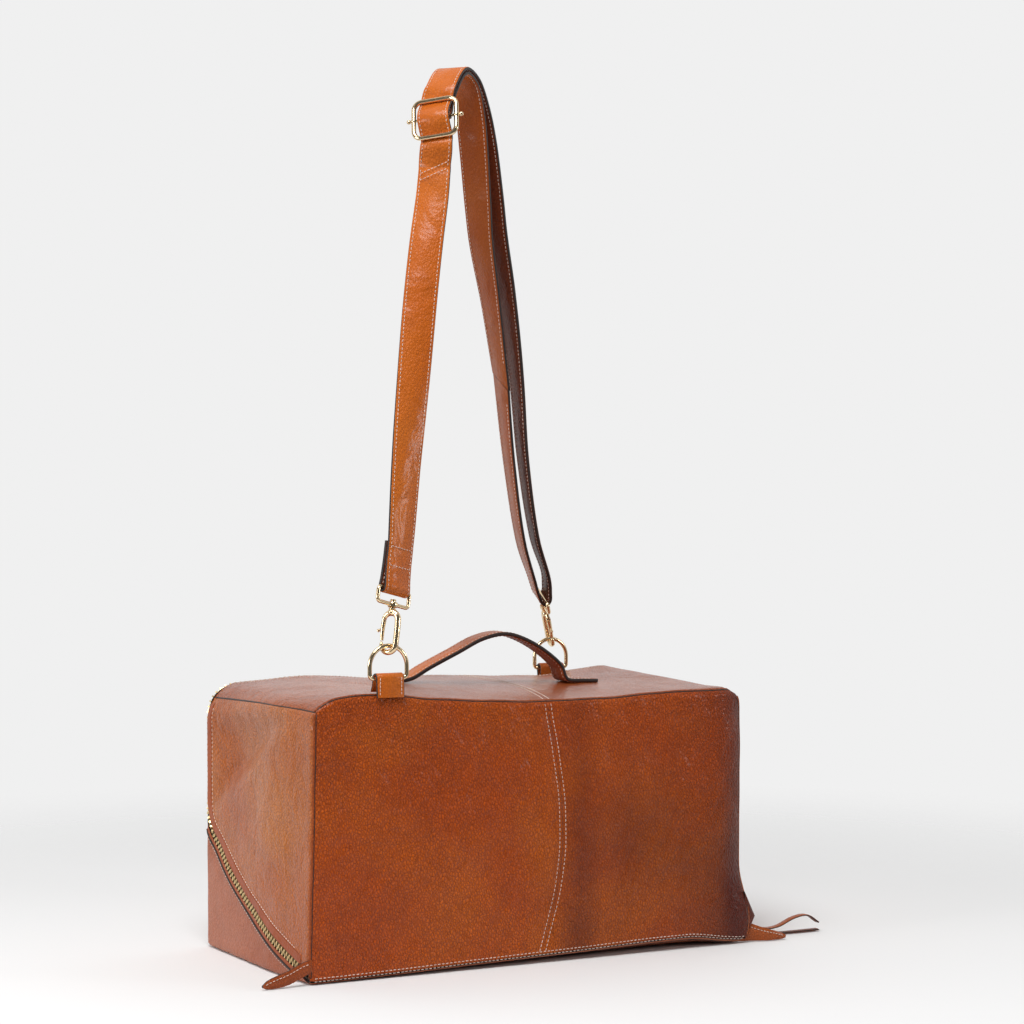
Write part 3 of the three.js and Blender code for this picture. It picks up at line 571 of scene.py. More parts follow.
# ---------------------------------------------------------------- tubes, stitches and ribbons
def resample(points, step, closed=False):
    points = np.asarray(points, float)
    if closed:
        points = np.vstack([points, points[:1]])
    lengths = np.linalg.norm(np.diff(points, axis=0), axis=1)
    along = np.concatenate([[0], np.cumsum(lengths)])
    n = max(2, int(round(along[-1] / step)))
    at = np.linspace(0, along[-1], n + 1)
    if closed:
        at = at[:-1]
    return np.stack([np.interp(at, along, points[:, k]) for k in range(3)], 1)


def tangents(points, closed=False):
    if closed:
        return unit(np.roll(points, -1, 0) - np.roll(points, 1, 0))
    return unit(np.gradient(points, axis=0))


def sweep_mesh(points, across, out, section, closed=False, caps=True):
    """Points and faces of a section, of (a, b) pairs or one such list for each point, swept along points."""
    section = np.asarray(section, float)
    rings = len(points)
    if section.ndim == 2:
        section = np.repeat(section[None], rings, 0)
    n = section.shape[1]
    verts = (
        points[:, None] + section[:, :, :1] * across[:, None] + section[:, :, 1:] * out[:, None]
    ).reshape(-1, 3)
    faces, kinds = [], []
    for i in range(rings if closed else rings - 1):
        j = (i + 1) % rings
        for k in range(n):
            m = (k + 1) % n
            faces.append((i * n + k, i * n + m, j * n + m, j * n + k))
            kinds.append(k)
    if caps and not closed:
        faces.append(tuple(reversed(range(n))))
        faces.append(tuple(range((rings - 1) * n, rings * n)))
        kinds += [-1, -1]
    return verts, faces, kinds


def circle(radius, sides=12, flat=1.0):
    turn = np.linspace(0, 2 * math.pi, sides, endpoint=False)
    return np.stack([radius * np.cos(turn), radius * flat * np.sin(turn)], 1)


def merged(name, pieces, materials, soft=True):
    """One mesh of one material from several (points, faces, kinds) triples."""
    points, faces, base = [], [], 0
    for verts, piece_faces, _ in pieces:
        points.append(verts)
        faces += [tuple(base + i for i in face) for face in piece_faces]
        base += len(verts)
    return build(name, np.vstack(points), faces, materials, [0] * len(faces), soft)


def cross_frames(points, normals, closed=False):
    along = tangents(points, closed)
    across = unit(np.cross(along, normals))
    return along, across, unit(np.cross(across, along))


def tube(points, normals, radius, sides=10, closed=False, flat=1.0):
    _, across, out = cross_frames(points, normals, closed)
    return sweep_mesh(points, across, out, circle(radius, sides, flat), closed)


STITCH_RINGS = [
    (-1.0, 0.35, -0.5), (-0.72, 0.85, 0.15), (0.0, 1.0, 0.5), (0.72, 0.85, 0.15), (1.0, 0.35, -0.5),
]


def stitches(name, rows, pitch=4.4, long=3.0, radius=0.42):
    """Rows of thread, each (points, normals). A stitch is a small bead that dips at both ends."""
    verts, faces = [], []
    sides = 6
    turn = np.linspace(0, 2 * math.pi, sides, endpoint=False)
    for points, normals in rows:
        even = resample(points, pitch)
        lengths = np.concatenate([[0], np.cumsum(np.linalg.norm(np.diff(points, axis=0), axis=1))])
        at = np.linspace(0, lengths[-1], len(even))
        up = unit(np.stack([np.interp(at, lengths, normals[:, k]) for k in range(3)], 1))
        middle = (even[:-1] + even[1:]) / 2
        along = unit(even[1:] - even[:-1])
        up = unit(up[:-1] + up[1:])
        side = unit(np.cross(along, up))
        for m, a, s, u in zip(middle, along, side, up):
            base = len(verts)
            for t, r, lift in STITCH_RINGS:
                c = m + a * (t * long / 2) + u * (lift * radius)
                verts += [c + s * (radius * r * math.cos(q)) + u * (radius * r * math.sin(q)) for q in turn]
            for i in range(len(STITCH_RINGS) - 1):
                for k in range(sides):
                    l = (k + 1) % sides
                    faces.append((base + i * sides + k, base + i * sides + l,
                                  base + (i + 1) * sides + l, base + (i + 1) * sides + k))
            faces.append(tuple(base + k for k in reversed(range(sides))))
            faces.append(tuple(base + (len(STITCH_RINGS) - 1) * sides + k for k in range(sides)))
    return build(name, verts, faces, [THREAD])


def on_body(path, normal, lift=0.0):
    """A path given on the ideal box, carried to the bag's surface with its normals there."""
    path = np.asarray(path, float)
    normal = np.broadcast_to(np.asarray(normal, float), path.shape)
    here = body(path)
    return here + unit(body(path + normal) - here) * lift, unit(body(path + normal) - here)


def line(a, b, step=6.0):
    a, b = np.asarray(a, float), np.asarray(b, float)
    n = max(2, int(np.linalg.norm(b - a) / step))
    return a + (b - a) * np.linspace(0, 1, n + 1)[:, None]


# ---------------------------------------------------------------- the zip's track on the ideal box
TRACK_RADIUS = 690.0
TOOTH_STEP = 2.8
START = {"y": -106.0, "z": 14.0, "slope": math.radians(16.4)}
TURN = math.radians(36)
ARC = (
    START["y"] - TRACK_RADIUS * math.sin(START["slope"]),
    START["z"] + TRACK_RADIUS * math.cos(START["slope"]),
)
TURN_START = (ARC[0] + TRACK_RADIUS * math.sin(TURN), ARC[1] - TRACK_RADIUS * math.cos(TURN))
TURN_RADIUS = (HALF_Y - TURN_START[0]) / (1 - math.sin(TURN))
TURN_CENTRE = (HALF_Y - TURN_RADIUS, TURN_START[1] + TURN_RADIUS * math.cos(TURN))


def track_yz(slope, side=0.0):
    (cy, cz), radius = (ARC, TRACK_RADIUS) if slope <= TURN else (TURN_CENTRE, TURN_RADIUS)
    return cy + (radius - side) * math.sin(slope), cz - (radius - side) * math.cos(slope)


def end_track(side=0.0, top=HEIGHT, start=START["slope"]):
    """The track on an end, from the front corner to the rear edge and up it, as (y, z) rows."""
    slopes = [*np.linspace(start, TURN, 34), *np.linspace(TURN, math.pi / 2, 14)[1:]]
    rows = [track_yz(s, side) for s in slopes]
    y, z = rows[-1]
    rows += [(y, t) for t in ticks(z, top, 7.0)[1:]]
    return np.array(rows)


def end_path(x, side):
    rows = end_track(side)
    return np.column_stack([np.full(len(rows), x), rows])


def zip_path():
    """The middle line of the zip along the whole ideal box, with outward normals."""
    left = end_path(-HALF_X, 0.0)
    top = line((-HALF_X, HALF_Y, HEIGHT), (HALF_X, HALF_Y, HEIGHT), 5.0)[1:-1]
    right = end_path(HALF_X, 0.0)[::-1]
    path = np.vstack([left, top, right])
    y_share = np.clip((path[:, 1] - (HALF_Y - 26)) / 26, 0, 1)
    z_share = np.clip((path[:, 2] - (HEIGHT - 26)) / 26, 0, 1) * y_share
    x_share = np.clip((np.abs(path[:, 0]) - (HALF_X - 26)) / 26, 0, 1)
    normal = np.column_stack([np.sign(path[:, 0]) * x_share, y_share, z_share])
    normal[:, 0] = np.where(x_share > 0, normal[:, 0], 0)
    return path, unit(normal)


def zip_frames():
    """Places evenly spaced along the zip, with the directions along it, toward the lid and outward."""
    path, normal = zip_path()
    here, out = on_body(path, normal)
    even = resample(here, TOOTH_STEP)
    lengths = np.concatenate([[0], np.cumsum(np.linalg.norm(np.diff(here, axis=0), axis=1))])
    at = np.linspace(0, lengths[-1], len(even))
    out = unit(np.stack([np.interp(at, lengths, out[:, k]) for k in range(3)], 1))
    along = tangents(even)
    across = unit(np.cross(out, along))
    across = across * np.sign(across[3] @ Z)
    upright = unit(np.cross(along, across))
    return even, along, across, upright * np.sign((upright * out).sum(1))[:, None]


def zip_pieces():
    """Separate teeth and a tape for each side, which part when the lid opens."""
    at, along, across, out = zip_frames()
    corner = np.clip((1 - np.abs(out).max(1)) / 0.29, 0, 1)
    reach_share = 1 - 0.34 * corner
    for side, sign, body_name, shift in (("lid", 1, "lid", 0), ("base", -1, "base", 1)):
        teeth = []
        for i in range(2 + shift, len(at) - 2, 2):
            a, s, o, p = along[i], across[i] * sign, out[i], at[i]
            rows = [(-0.7, 0.6), (1.2, 0.6), (1.7, 0.92), (4.0, 0.92)]
            points = []
            for reach, half in rows:
                for b in (-1.9, 0.1, 0.5):
                    width = half * (1.0 if b < 0.3 else 0.55)
                    away = p + s * (reach * reach_share[i]) + o * (b - 0.5 * corner[i])
                    points += [away + a * width, away - a * width]
            points = np.array(points)
            faces = []
            for r in range(3):
                b0, b1 = r * 6, (r + 1) * 6
                ring = [0, 2, 4, 5, 3, 1]
                for k in range(6):
                    l = ring[(k + 1) % 6]
                    faces.append((b0 + ring[k], b0 + l, b1 + l, b1 + ring[k]))
            faces.append((1, 3, 5, 4, 2, 0))
            faces.append(tuple(18 + k for k in (0, 2, 4, 5, 3, 1)))
            teeth.append((points, faces, [0] * len(faces)))
        thing = merged(f"zip_teeth_{side}_rows", teeth, [OLD_BRASS], soft=False)
        place(thing, body_name, "old_brass", f"zip_teeth_{side}")
        section = np.array([(0.4, -1.5), (4.3, -1.8), (4.3, -2.4), (0.4, -2.3)])
        sections = section[None] * np.stack([reach_share, 1 + 0.3 * corner], 1)[:, None]
        strip = sweep_mesh(at, across * sign, out, sections)
        tape = build(f"zip_tape_{side}_cloth", strip[0], strip[1], [TAPE_CLOTH])
        place(keep_edges(tape), body_name, "zip_tape", f"zip_tape_{side}")


# ---------------------------------------------------------------- panels
def plane_grid(us, vs, make):
    return np.array([[make(u, v) for v in vs] for u in us], float)


def ruled(low, high):
    """A grid between two lines of points, with rows closer together near both lines."""
    share = ticks(0, 1, 0.06, near=(0, 0.006, 0.016, 0.03, 0.05))
    return np.array([low + (high - low) * s for s in share])


def spaced(path, n):
    """n points evenly spaced along a line of points, keeping its corners as near as they fall."""
    lengths = np.concatenate([[0], np.cumsum(np.linalg.norm(np.diff(path, axis=0), axis=1))])
    at = np.linspace(0, lengths[-1], n)
    return np.stack([np.interp(at, lengths, path[:, k]) for k in range(path.shape[1])], 1)


def lid_end_grid(x):
    """The end's lid part: between the track and the front and top edges."""
    low = spaced(end_track(ZIP_HALF), 96)
    top_y = low[-1, 0]
    front = [(-HALF_Y, z) for z in ticks(low[0, 1] - 8, HEIGHT, 6.0)]
    top = [(y, HEIGHT) for y in ticks(-HALF_Y, top_y, 6.0)[1:]]
    corner_share = (HEIGHT - low[0, 1]) / (HEIGHT - low[0, 1] + top_y + HALF_Y)
    k = int(round(corner_share * 95))
    high = np.vstack([spaced(np.array(front), k + 1), spaced(np.array([front[-1], *top]), 96 - k)[1:]])
    grid = ruled(low, high)
    return np.dstack([np.full(grid.shape[:2], x), grid[..., 0], grid[..., 1]])


def base_end_grid(x):
    """The end's base part: between the bottom and rear edges and the track."""
    high = spaced(end_track(-ZIP_HALF, start=math.radians(16.4)), 96)
    high = high[high[:, 0] < HALF_Y - 0.1]
    rear_z = high[-1, 1]
    n = len(high)
    bottom = [(y, 0.0) for y in ticks(-HALF_Y + 3, HALF_Y, 6.0)]
    rear = [(HALF_Y, z) for z in ticks(0.0, rear_z + 3, 6.0)[1:]]
    k = int(round(n * DEPTH / (DEPTH + rear_z)))
    low = np.vstack([spaced(np.array(bottom), k), spaced(np.array([bottom[-1], *rear]), n - k + 1)[1:]])
    grid = ruled(low, high)
    return np.dstack([np.full(grid.shape[:2], x), grid[..., 0], grid[..., 1]])


def front_grid(side):
    zs = ticks(3.5, HEIGHT, 6.5)
    shares = ticks(0, 1, 0.035, near=(0, 0.004, 0.01, 0.018, 0.03))
    edge = -HALF_X if side == "left" else HALF_X
    return plane_grid(zs, shares, lambda z, s: (edge + (seam_x(z) - edge) * s, -HALF_Y, z))


def top_grid(side):
    ys = ticks(-HALF_Y, HALF_Y - ZIP_HALF, 6.5)
    shares = ticks(0, 1, 0.035, near=(0, 0.004, 0.01, 0.018, 0.03))
    edge = -HALF_X if side == "left" else HALF_X
    return plane_grid(ys, shares, lambda y, s: (edge + (seam_top_x(y) - edge) * s, y, HEIGHT))


def back_grid():
    """The back, up to the zip: its upper edge follows the track's side on the rear edges."""
    xs = ticks(-HALF_X, HALF_X, 8.0)
    zs = ticks(0.0, 1.0, 0.04, near=(0, 0.004, 0.01, 0.02, 0.03))
    rear_z = TURN_CENTRE[1]

    def make(s, x):
        reach = min(1.0, max(0.0, (abs(x) - (HALF_X - ZIP_HALF)) / ZIP_HALF))
        top = (HEIGHT - ZIP_HALF) * (1 - reach) + rear_z * reach
        return (x, HALF_Y, top * s)

    return plane_grid(zs, xs, make)


def panels():
    for side in ("left", "right"):
        front = shell(f"front_leather_{side}", front_grid(side), TAN)
        place(front, "lid", "tan_leather", f"front_panel_{side}")
        top = shell(f"top_leather_{side}", top_grid(side), TAN_TOP)
        place(top, "lid", "tan_leather", f"top_panel_{side}")
    for side, x in (("left", -HALF_X), ("right", HALF_X)):
        lid = shell(f"{side}_end_lid_leather", lid_end_grid(x), TAN_END)
        place(lid, "lid", "tan_leather", f"{side}_end_lid")
        low = shell(f"{side}_end_base_leather", base_end_grid(x), TAN_BASE)
        place(low, "base", "tan_leather", f"{side}_end_base")
    place(shell("back_leather", back_grid(), TAN_BASE), "base", "tan_leather", "back_panel")
    bottom = plane_grid(ticks(-HALF_X, HALF_X, 9.0), ticks(-HALF_Y, HALF_Y, 9.0), lambda x, y: (x, y, 0.0))
    place(shell("bottom_leather", bottom, TAN_BASE), "base", "tan_leather", "bottom_panel")


def lining_pieces():
    """The cloth inside: one sheet under each panel, and the board below the floor's sheet."""
    start, cloth = LEATHER_THICK + 0.6, 0.9
    grids = {
        "lid": [front_grid("left"), front_grid("right"), top_grid("left"), top_grid("right"),
                lid_end_grid(-HALF_X), lid_end_grid(HALF_X)],
        "base": [back_grid(), base_end_grid(-HALF_X), base_end_grid(HALF_X)],
    }
    floor = plane_grid(ticks(-244, 244, 12.0), ticks(-120, 120, 12.0), lambda x, y: (x, y, 0.0))
    for body_name, several in grids.items():
        for i, grid in enumerate(several):
            thing = shell(f"{body_name}_lining_cloth_{i}", grid, LINING, cloth, start, LINING, LINING)
            place(thing, body_name, "lining", f"{body_name}_lining")
    thing = shell("base_lining_cloth_floor", floor, LINING, cloth, 6.4, LINING, LINING)
    place(thing, "base", "lining", "base_lining")
    place(shell("board_sheet", floor, BOARD, 2.0, 3.6, BOARD, BOARD), "base", "board", "bottom_board")


def run_tube(name, path, normal, lift, radius, material, body_name="lid"):
    """A thin cord of leather or a painted line that follows the surface."""
    at, out = on_body(path, normal, lift)
    made = tube(at, out, radius, 8)
    return place(build(name, made[0], made[1], [material]), body_name, "dark_leather")


def seam_lines():
    """Welts, grooves and edge-painted laps along the panels' joins."""
    for x, name in ((-HALF_X, "left"), (HALF_X, "right")):
        side = np.sign(x)
        upright = line((x, -HALF_Y, 7), (x, -HALF_Y, HEIGHT - 1))
        run_tube(f"welt_front_{name}", upright, unit((side, -1, 0)), -0.7, 1.5, TAN_DEEP)
        groove = line((x - side * 3.2, -HALF_Y, 7), (x - side * 3.2, -HALF_Y, HEIGHT - 4))
        run_tube(f"groove_front_{name}", groove, (0, -1, 0), -0.25, 0.5, EDGE)
        lap = line((x, -HALF_Y + 2, HEIGHT), (x, HALF_Y - 8, HEIGHT))
        run_tube(f"lap_top_{name}", lap, unit((side, 0, 0.6)), -0.3, 0.95, EDGE)
    ridge = line((-HALF_X + 2, -HALF_Y + 4.5, HEIGHT), (HALF_X - 2, -HALF_Y + 4.5, HEIGHT))
    run_tube("welt_front_top", ridge, unit((0, -0.4, 1)), -0.7, 1.3, TAN_DEEP)
    groove = line((-HALF_X + 2, -HALF_Y + 1.6, HEIGHT), (HALF_X - 2, -HALF_Y + 1.6, HEIGHT))
    run_tube("groove_front_top", groove, unit((0, -0.7, 0.7)), -0.1, 0.7, EDGE)
    zs = np.linspace(4, HEIGHT, 60)
    path = np.column_stack([seam_x(zs), np.full(60, -HALF_Y), zs])
    run_tube("centre_seam_front", path, (0, -1, 0), -0.5, 0.6, SEAM_DARK)
    ys = np.linspace(-HALF_Y, HALF_Y - ZIP_HALF, 50)
    path = np.column_stack([seam_top_x(ys), ys, np.full(50, HEIGHT)])
    run_tube("centre_seam_top", path, (0, 0, 1), -0.5, 0.6, SEAM_DARK)


def stitch_rows():
    lid, base = [], []
    zs = np.linspace(6, HEIGHT - 2, 70)
    ys = np.linspace(-HALF_Y + 2, HALF_Y - 8, 50)
    for offset in (-3.4, 3.4):
        lid.append(on_body(np.column_stack([seam_x(zs) + offset, np.full(70, -HALF_Y), zs]), (0, -1, 0)))
        lid.append(on_body(np.column_stack([seam_top_x(ys) + offset, ys, np.full(50, HEIGHT)]), (0, 0, 1)))
    for height in (2.6, 6.2):
        lid.append(on_body(line((-HALF_X + 6, -HALF_Y, height), (HALF_X - 6, -HALF_Y, height)), (0, -1, 0)))
    for x in (-HALF_X, HALF_X):
        out = (np.sign(x), 0, 0)
        upper = end_track(ZIP_HALF + FACING_WIDTH, top=HEIGHT - 14)[2:]
        lid.append(on_body(np.column_stack([np.full(len(upper), x), upper]), out))
        lower = end_track(-ZIP_HALF - LAP_WIDTH - 3.2)
        lower = lower[lower[:, 0] < HALF_Y - 3]
        base.append(on_body(np.column_stack([np.full(len(lower), x), lower]), out))
    inner = HALF_Y - ZIP_HALF - FACING_WIDTH
    lid.append(on_body(line((-HALF_X + 30, inner, HEIGHT), (HALF_X - 30, inner, HEIGHT)), (0, 0, 1)))
    back_top = HEIGHT - ZIP_HALF - LAP_WIDTH - 3.2
    rear_z = TURN_CENTRE[1] + 6
    base.append(on_body(line((-HALF_X + 34, HALF_Y, back_top), (HALF_X - 34, HALF_Y, back_top)), (0, 1, 0)))
    for x in (-HALF_X + 8.5, HALF_X - 8.5):
        base.append(on_body(line((x, HALF_Y, rear_z), (x, HALF_Y, HEIGHT - 36)), (0, 1, 0)))
        base.append(on_body(line((x * 0.99, HALF_Y, 12), (x * 0.99, HALF_Y, rear_z - 10)), (0, 1, 0)))
    place(stitches("stitches_lid", lid), "lid", "tan_leather")
    place(stitches("stitches_base", base), "base", "tan_leather")


FACING_WIDTH, LAP_WIDTH = 10.5, 4.6


def facing(name, x, near, far, body_name):
    """A smooth strip of leather beside the zip on an end, between two distances from its middle line."""
    sides = np.linspace(near, far, 6)
    rows = [end_track(side, top=HEIGHT - 9) for side in sides]
    if near < 0:
        count = min((row[:, 0] < HALF_Y - 2).sum() for row in rows)
        rows = [row[:count] for row in rows]
    yz = np.array(rows)
    sign = np.sign(x)
    def at(lift):
        return body(np.dstack([np.full(yz.shape[:2], sign * (HALF_X + lift)), yz[..., 0], yz[..., 1]]))

    thing = slab(name, at(0.45), at(-0.8), [FACING, FACING, FACING])
    place(thing, body_name, "dark_leather")


def zip_facings():
    """Smooth facings beside the teeth, and the base's painted lap below them."""
    for x in (-HALF_X, HALF_X):
        name = "left" if x < 0 else "right"
        out = (np.sign(x), 0, 0)
        facing(f"zip_facing_{name}_lid", x, ZIP_HALF + 0.1, ZIP_HALF + FACING_WIDTH - 1.6, "lid")
        facing(f"zip_facing_{name}_base", x, -ZIP_HALF - 0.1, -ZIP_HALF - LAP_WIDTH, "base")
        rows = end_track(-ZIP_HALF - LAP_WIDTH - 0.4)
        rows = rows[rows[:, 0] < HALF_Y - 1.0]
        path = np.column_stack([np.full(len(rows), x), rows])
        run_tube(f"zip_lap_{name}", path, out, 0.2, 1.25, EDGE, "base")
        upright = line((x - out[0] * 9, HALF_Y, TURN_CENTRE[1] + 4), (x - out[0] * 9, HALF_Y, HEIGHT - 26))
        run_tube(f"zip_lap_rear_{name}", upright, (0, 1, 0), 0.1, 1.0, EDGE, "base")
    top = line((-HALF_X + 26, HALF_Y, HEIGHT - 9), (HALF_X - 26, HALF_Y, HEIGHT - 9))
    run_tube("zip_lap_rear_top", top, (0, 1, 0), 0.1, 1.0, EDGE, "base")


# ---------------------------------------------------------------- ribbons: straps and the handle
def catmull(points, steps):
    """A centripetal curve through the points, with the station index and share of each place on it."""
    points = np.asarray(points, float)
    ends = np.vstack([2 * points[0] - points[1], points, 2 * points[-1] - points[-2]])
    made, index = [], []
    for i in range(len(points) - 1):
        p = ends[i:i + 4]
        gaps = np.maximum(np.linalg.norm(np.diff(p, axis=0), axis=1), 1e-6) ** 0.5
        t = np.concatenate([[0], np.cumsum(gaps)])
        last = i == len(points) - 2
        for s in np.linspace(0, 1, steps + 1)[: None if last else -1]:
            q = t[1] + (t[2] - t[1]) * s
            a = [
                (t[k + 1] - q) / (t[k + 1] - t[k]) * p[k] + (q - t[k]) / (t[k + 1] - t[k]) * p[k + 1]
                for k in range(3)
            ]
            b = [
                (t[k + 2] - q) / (t[k + 2] - t[k]) * a[k] + (q - t[k]) / (t[k + 2] - t[k]) * a[k + 1]
                for k in range(2)
            ]
            made.append((t[2] - q) / (t[2] - t[1]) * b[0] + (q - t[1]) / (t[2] - t[1]) * b[1])
            index.append(i + s)
    return np.array(made), np.array(index)


def ribbon_frames(stations, steps=8):
    at, index = catmull([s[0] for s in stations], steps)
    widths = np.array([s[1] for s in stations], float)
    thins = np.array([s[2] if len(s) > 2 else 1.0 for s in stations])
    width = np.stack([np.interp(index, range(len(stations)), widths[:, k]) for k in range(3)], 1)
    along = tangents(at)
    width = unit(width - along * (width * along).sum(1, keepdims=True))
    return at, along, width, unit(np.cross(along, width)), np.interp(index, range(len(stations)), thins)


def strap_section(width, thick):
    """A flat strap's section: finished face, black rounded edges, back. Its faces' kinds follow in order."""
    w, t = width / 2, thick / 2
    points = [
        (-w + 0.9, -t), (w - 0.9, -t), (w - 0.25, -t + 0.45), (w, -t + 1.1),
        (w, t - 1.1), (w - 0.25, t - 0.45), (w - 0.9, t), (-w + 0.9, t),
        (-w + 0.25, t - 0.45), (-w, t - 1.1), (-w, -t + 1.1), (-w + 0.25, -t + 0.45),
    ]
    kinds = [0, 0, 1, 1, 1, 1, 2, 1, 1, 1, 1, 0]
    return np.array(points), kinds


def strap_piece(name, stations, width, thick, face, back, steps=8, slants=(0.0, 0.0)):
    """A strap along its stations. slants cut its two ends on the diagonal."""
    at, along, across, out, thin = ribbon_frames(stations, steps)
    section, kinds = strap_section(width, thick)
    sections = section[None] * np.stack([np.ones_like(thin), thin], 1)[:, None]
    verts, faces, ks = sweep_mesh(at, across, out, sections)
    gone = np.concatenate([[0], np.cumsum(np.linalg.norm(np.diff(at, axis=0), axis=1))])
    slant = slants[0] * (1 - smooth(gone / 30)) + slants[1] * (1 - smooth((gone[-1] - gone) / 30))
    verts = verts.reshape(len(at), -1, 3) + (slant[:, None] * sections[..., 0])[..., None] * along[:, None]
    verts = verts.reshape(-1, 3)
    thing = build(name, verts, faces, [face, EDGE, back], [1 if k < 0 else kinds[k] for k in ks])
    return keep_edges(thing, 45), (at, along, across, out)


def strap_stitch_rows(frames, width, thick, sides=(-1,), inset_by=2.8, span=slice(None)):
    at, along, across, out = frames
    rows = []
    for face in sides:
        for edge in (-1, 1):
            row = at + across * (edge * (width / 2 - inset_by)) + out * (face * thick / 2)
            rows.append((row[span], (out * face)[span]))
    return rows


RING_BAR = {"front": np.array([-157.0, -123.0, 294.0]), "rear": np.array([163.0, 132.0, 276.0])}
RING = {"half": 20.0, "corner": 4.0, "shoulder": 12.0, "wire": 2.2}
RING_TOP = RING["half"] + RING["shoulder"]
RUN = unit((RING_BAR["rear"] - RING_BAR["front"]) * np.array([1, 1, 0]))
EYE = {"half": 21.4, "wire": 2.0, "low": 41.0, "corner": 3.6}
HOOKS = {
    "front": {"lean": 14, "eyeTop": 56, "heading": -51.8, "eyeHeading": 20},
    "rear": {"lean": -25, "eyeTop": 53, "heading": 75, "eyeHeading": -108},
}
STRAP_WIDTH, STRAP_THICK = 34.0, 3.4
BUCKLE = {"half": 23.0, "rise": 20.0, "corner": 8.5, "wire": 2.4, "bar": 1.4, "boss": 3.0, "ball": 2.0}


def in_plane(run, height):
    p = RING_BAR["front"] + RUN * run
    return np.array([p[0], p[1], height])


def level(degrees):
    turn = math.radians(degrees)
    return np.array([math.cos(turn), math.sin(turn), 0.0])


def hook_frame(which):
    h = HOOKS[which]
    lean = math.radians(h["lean"])
    up = RUN * math.sin(lean) + Z * math.cos(lean)
    def square(d):
        return unit(d - up * (d @ up))

    return {"wire": RING_BAR[which] + Z * RING_TOP, "up": up, "side": square(level(h["heading"])),
            "eye": square(level(h["eyeHeading"])), "eyeTop": h["eyeTop"]}


FRAMES = {which: hook_frame(which) for which in HOOKS}
FRONT_LINE = [(41, 507, 8), (57, 587, -8), (73, 667, -24), (88, 728, -32), (102, 775, -40)]
SPLICE = (106, 795, -44)
BUCKLE_UP = RUN * math.sin(math.radians(16.5)) + Z * math.cos(math.radians(16.5))
BUCKLE_AT = in_plane(108, 853)
BUCKLE_SIDE = level(-48)
BUCKLE_SIDE = unit(BUCKLE_SIDE - BUCKLE_UP * (BUCKLE_SIDE @ BUCKLE_UP))
BUCKLE_TILT = math.radians(8)
BUCKLE_SIDE, BUCKLE_UP = (BUCKLE_SIDE * math.cos(BUCKLE_TILT) + BUCKLE_UP * math.sin(BUCKLE_TILT),
                          BUCKLE_UP * math.cos(BUCKLE_TILT) - BUCKLE_SIDE * math.sin(BUCKLE_TILT))
REAR_LINE = [
    (124, 884, -52, 5), (150, 905, -52, 5), (180, 897, -52, 6.5), (201, 868, -54, 14),
    (214, 835, -57, 20), (229, 780, -64, 23), (240, 740, -72, 23), (266, 678, -84, 21),
    (294, 593, -94, 18), (313, 507, -100, 16), (345, 420, -105, 16),
]
UPPER_SPLICE = 8
SPLICE_SLANT = 0.42


def aside(origin, up, side, along, away, thin=1.0):
    inward = unit(np.cross(up, side))
    return (origin + up * along + inward * away, side, thin)


def on_hook(which, height):
    return FRAMES[which]["wire"] + FRAMES[which]["up"] * height


def beside_rear_line(outside):
    middle = [in_plane(r[0], r[1]) for r in REAR_LINE]
    rear_eye = on_hook("rear", HOOKS["rear"]["eyeTop"])
    made = []
    for i, (_, _, heading, apart) in enumerate(REAR_LINE):
        before = middle[max(i - 1, 0)]
        after = middle[i + 1] if i + 1 < len(middle) else rear_eye
        inward = unit(np.cross(after - before, level(heading)))
        made.append((middle[i] + inward * ((-1 if outside else 1) * apart / 2), level(heading), 1.0))
    return made


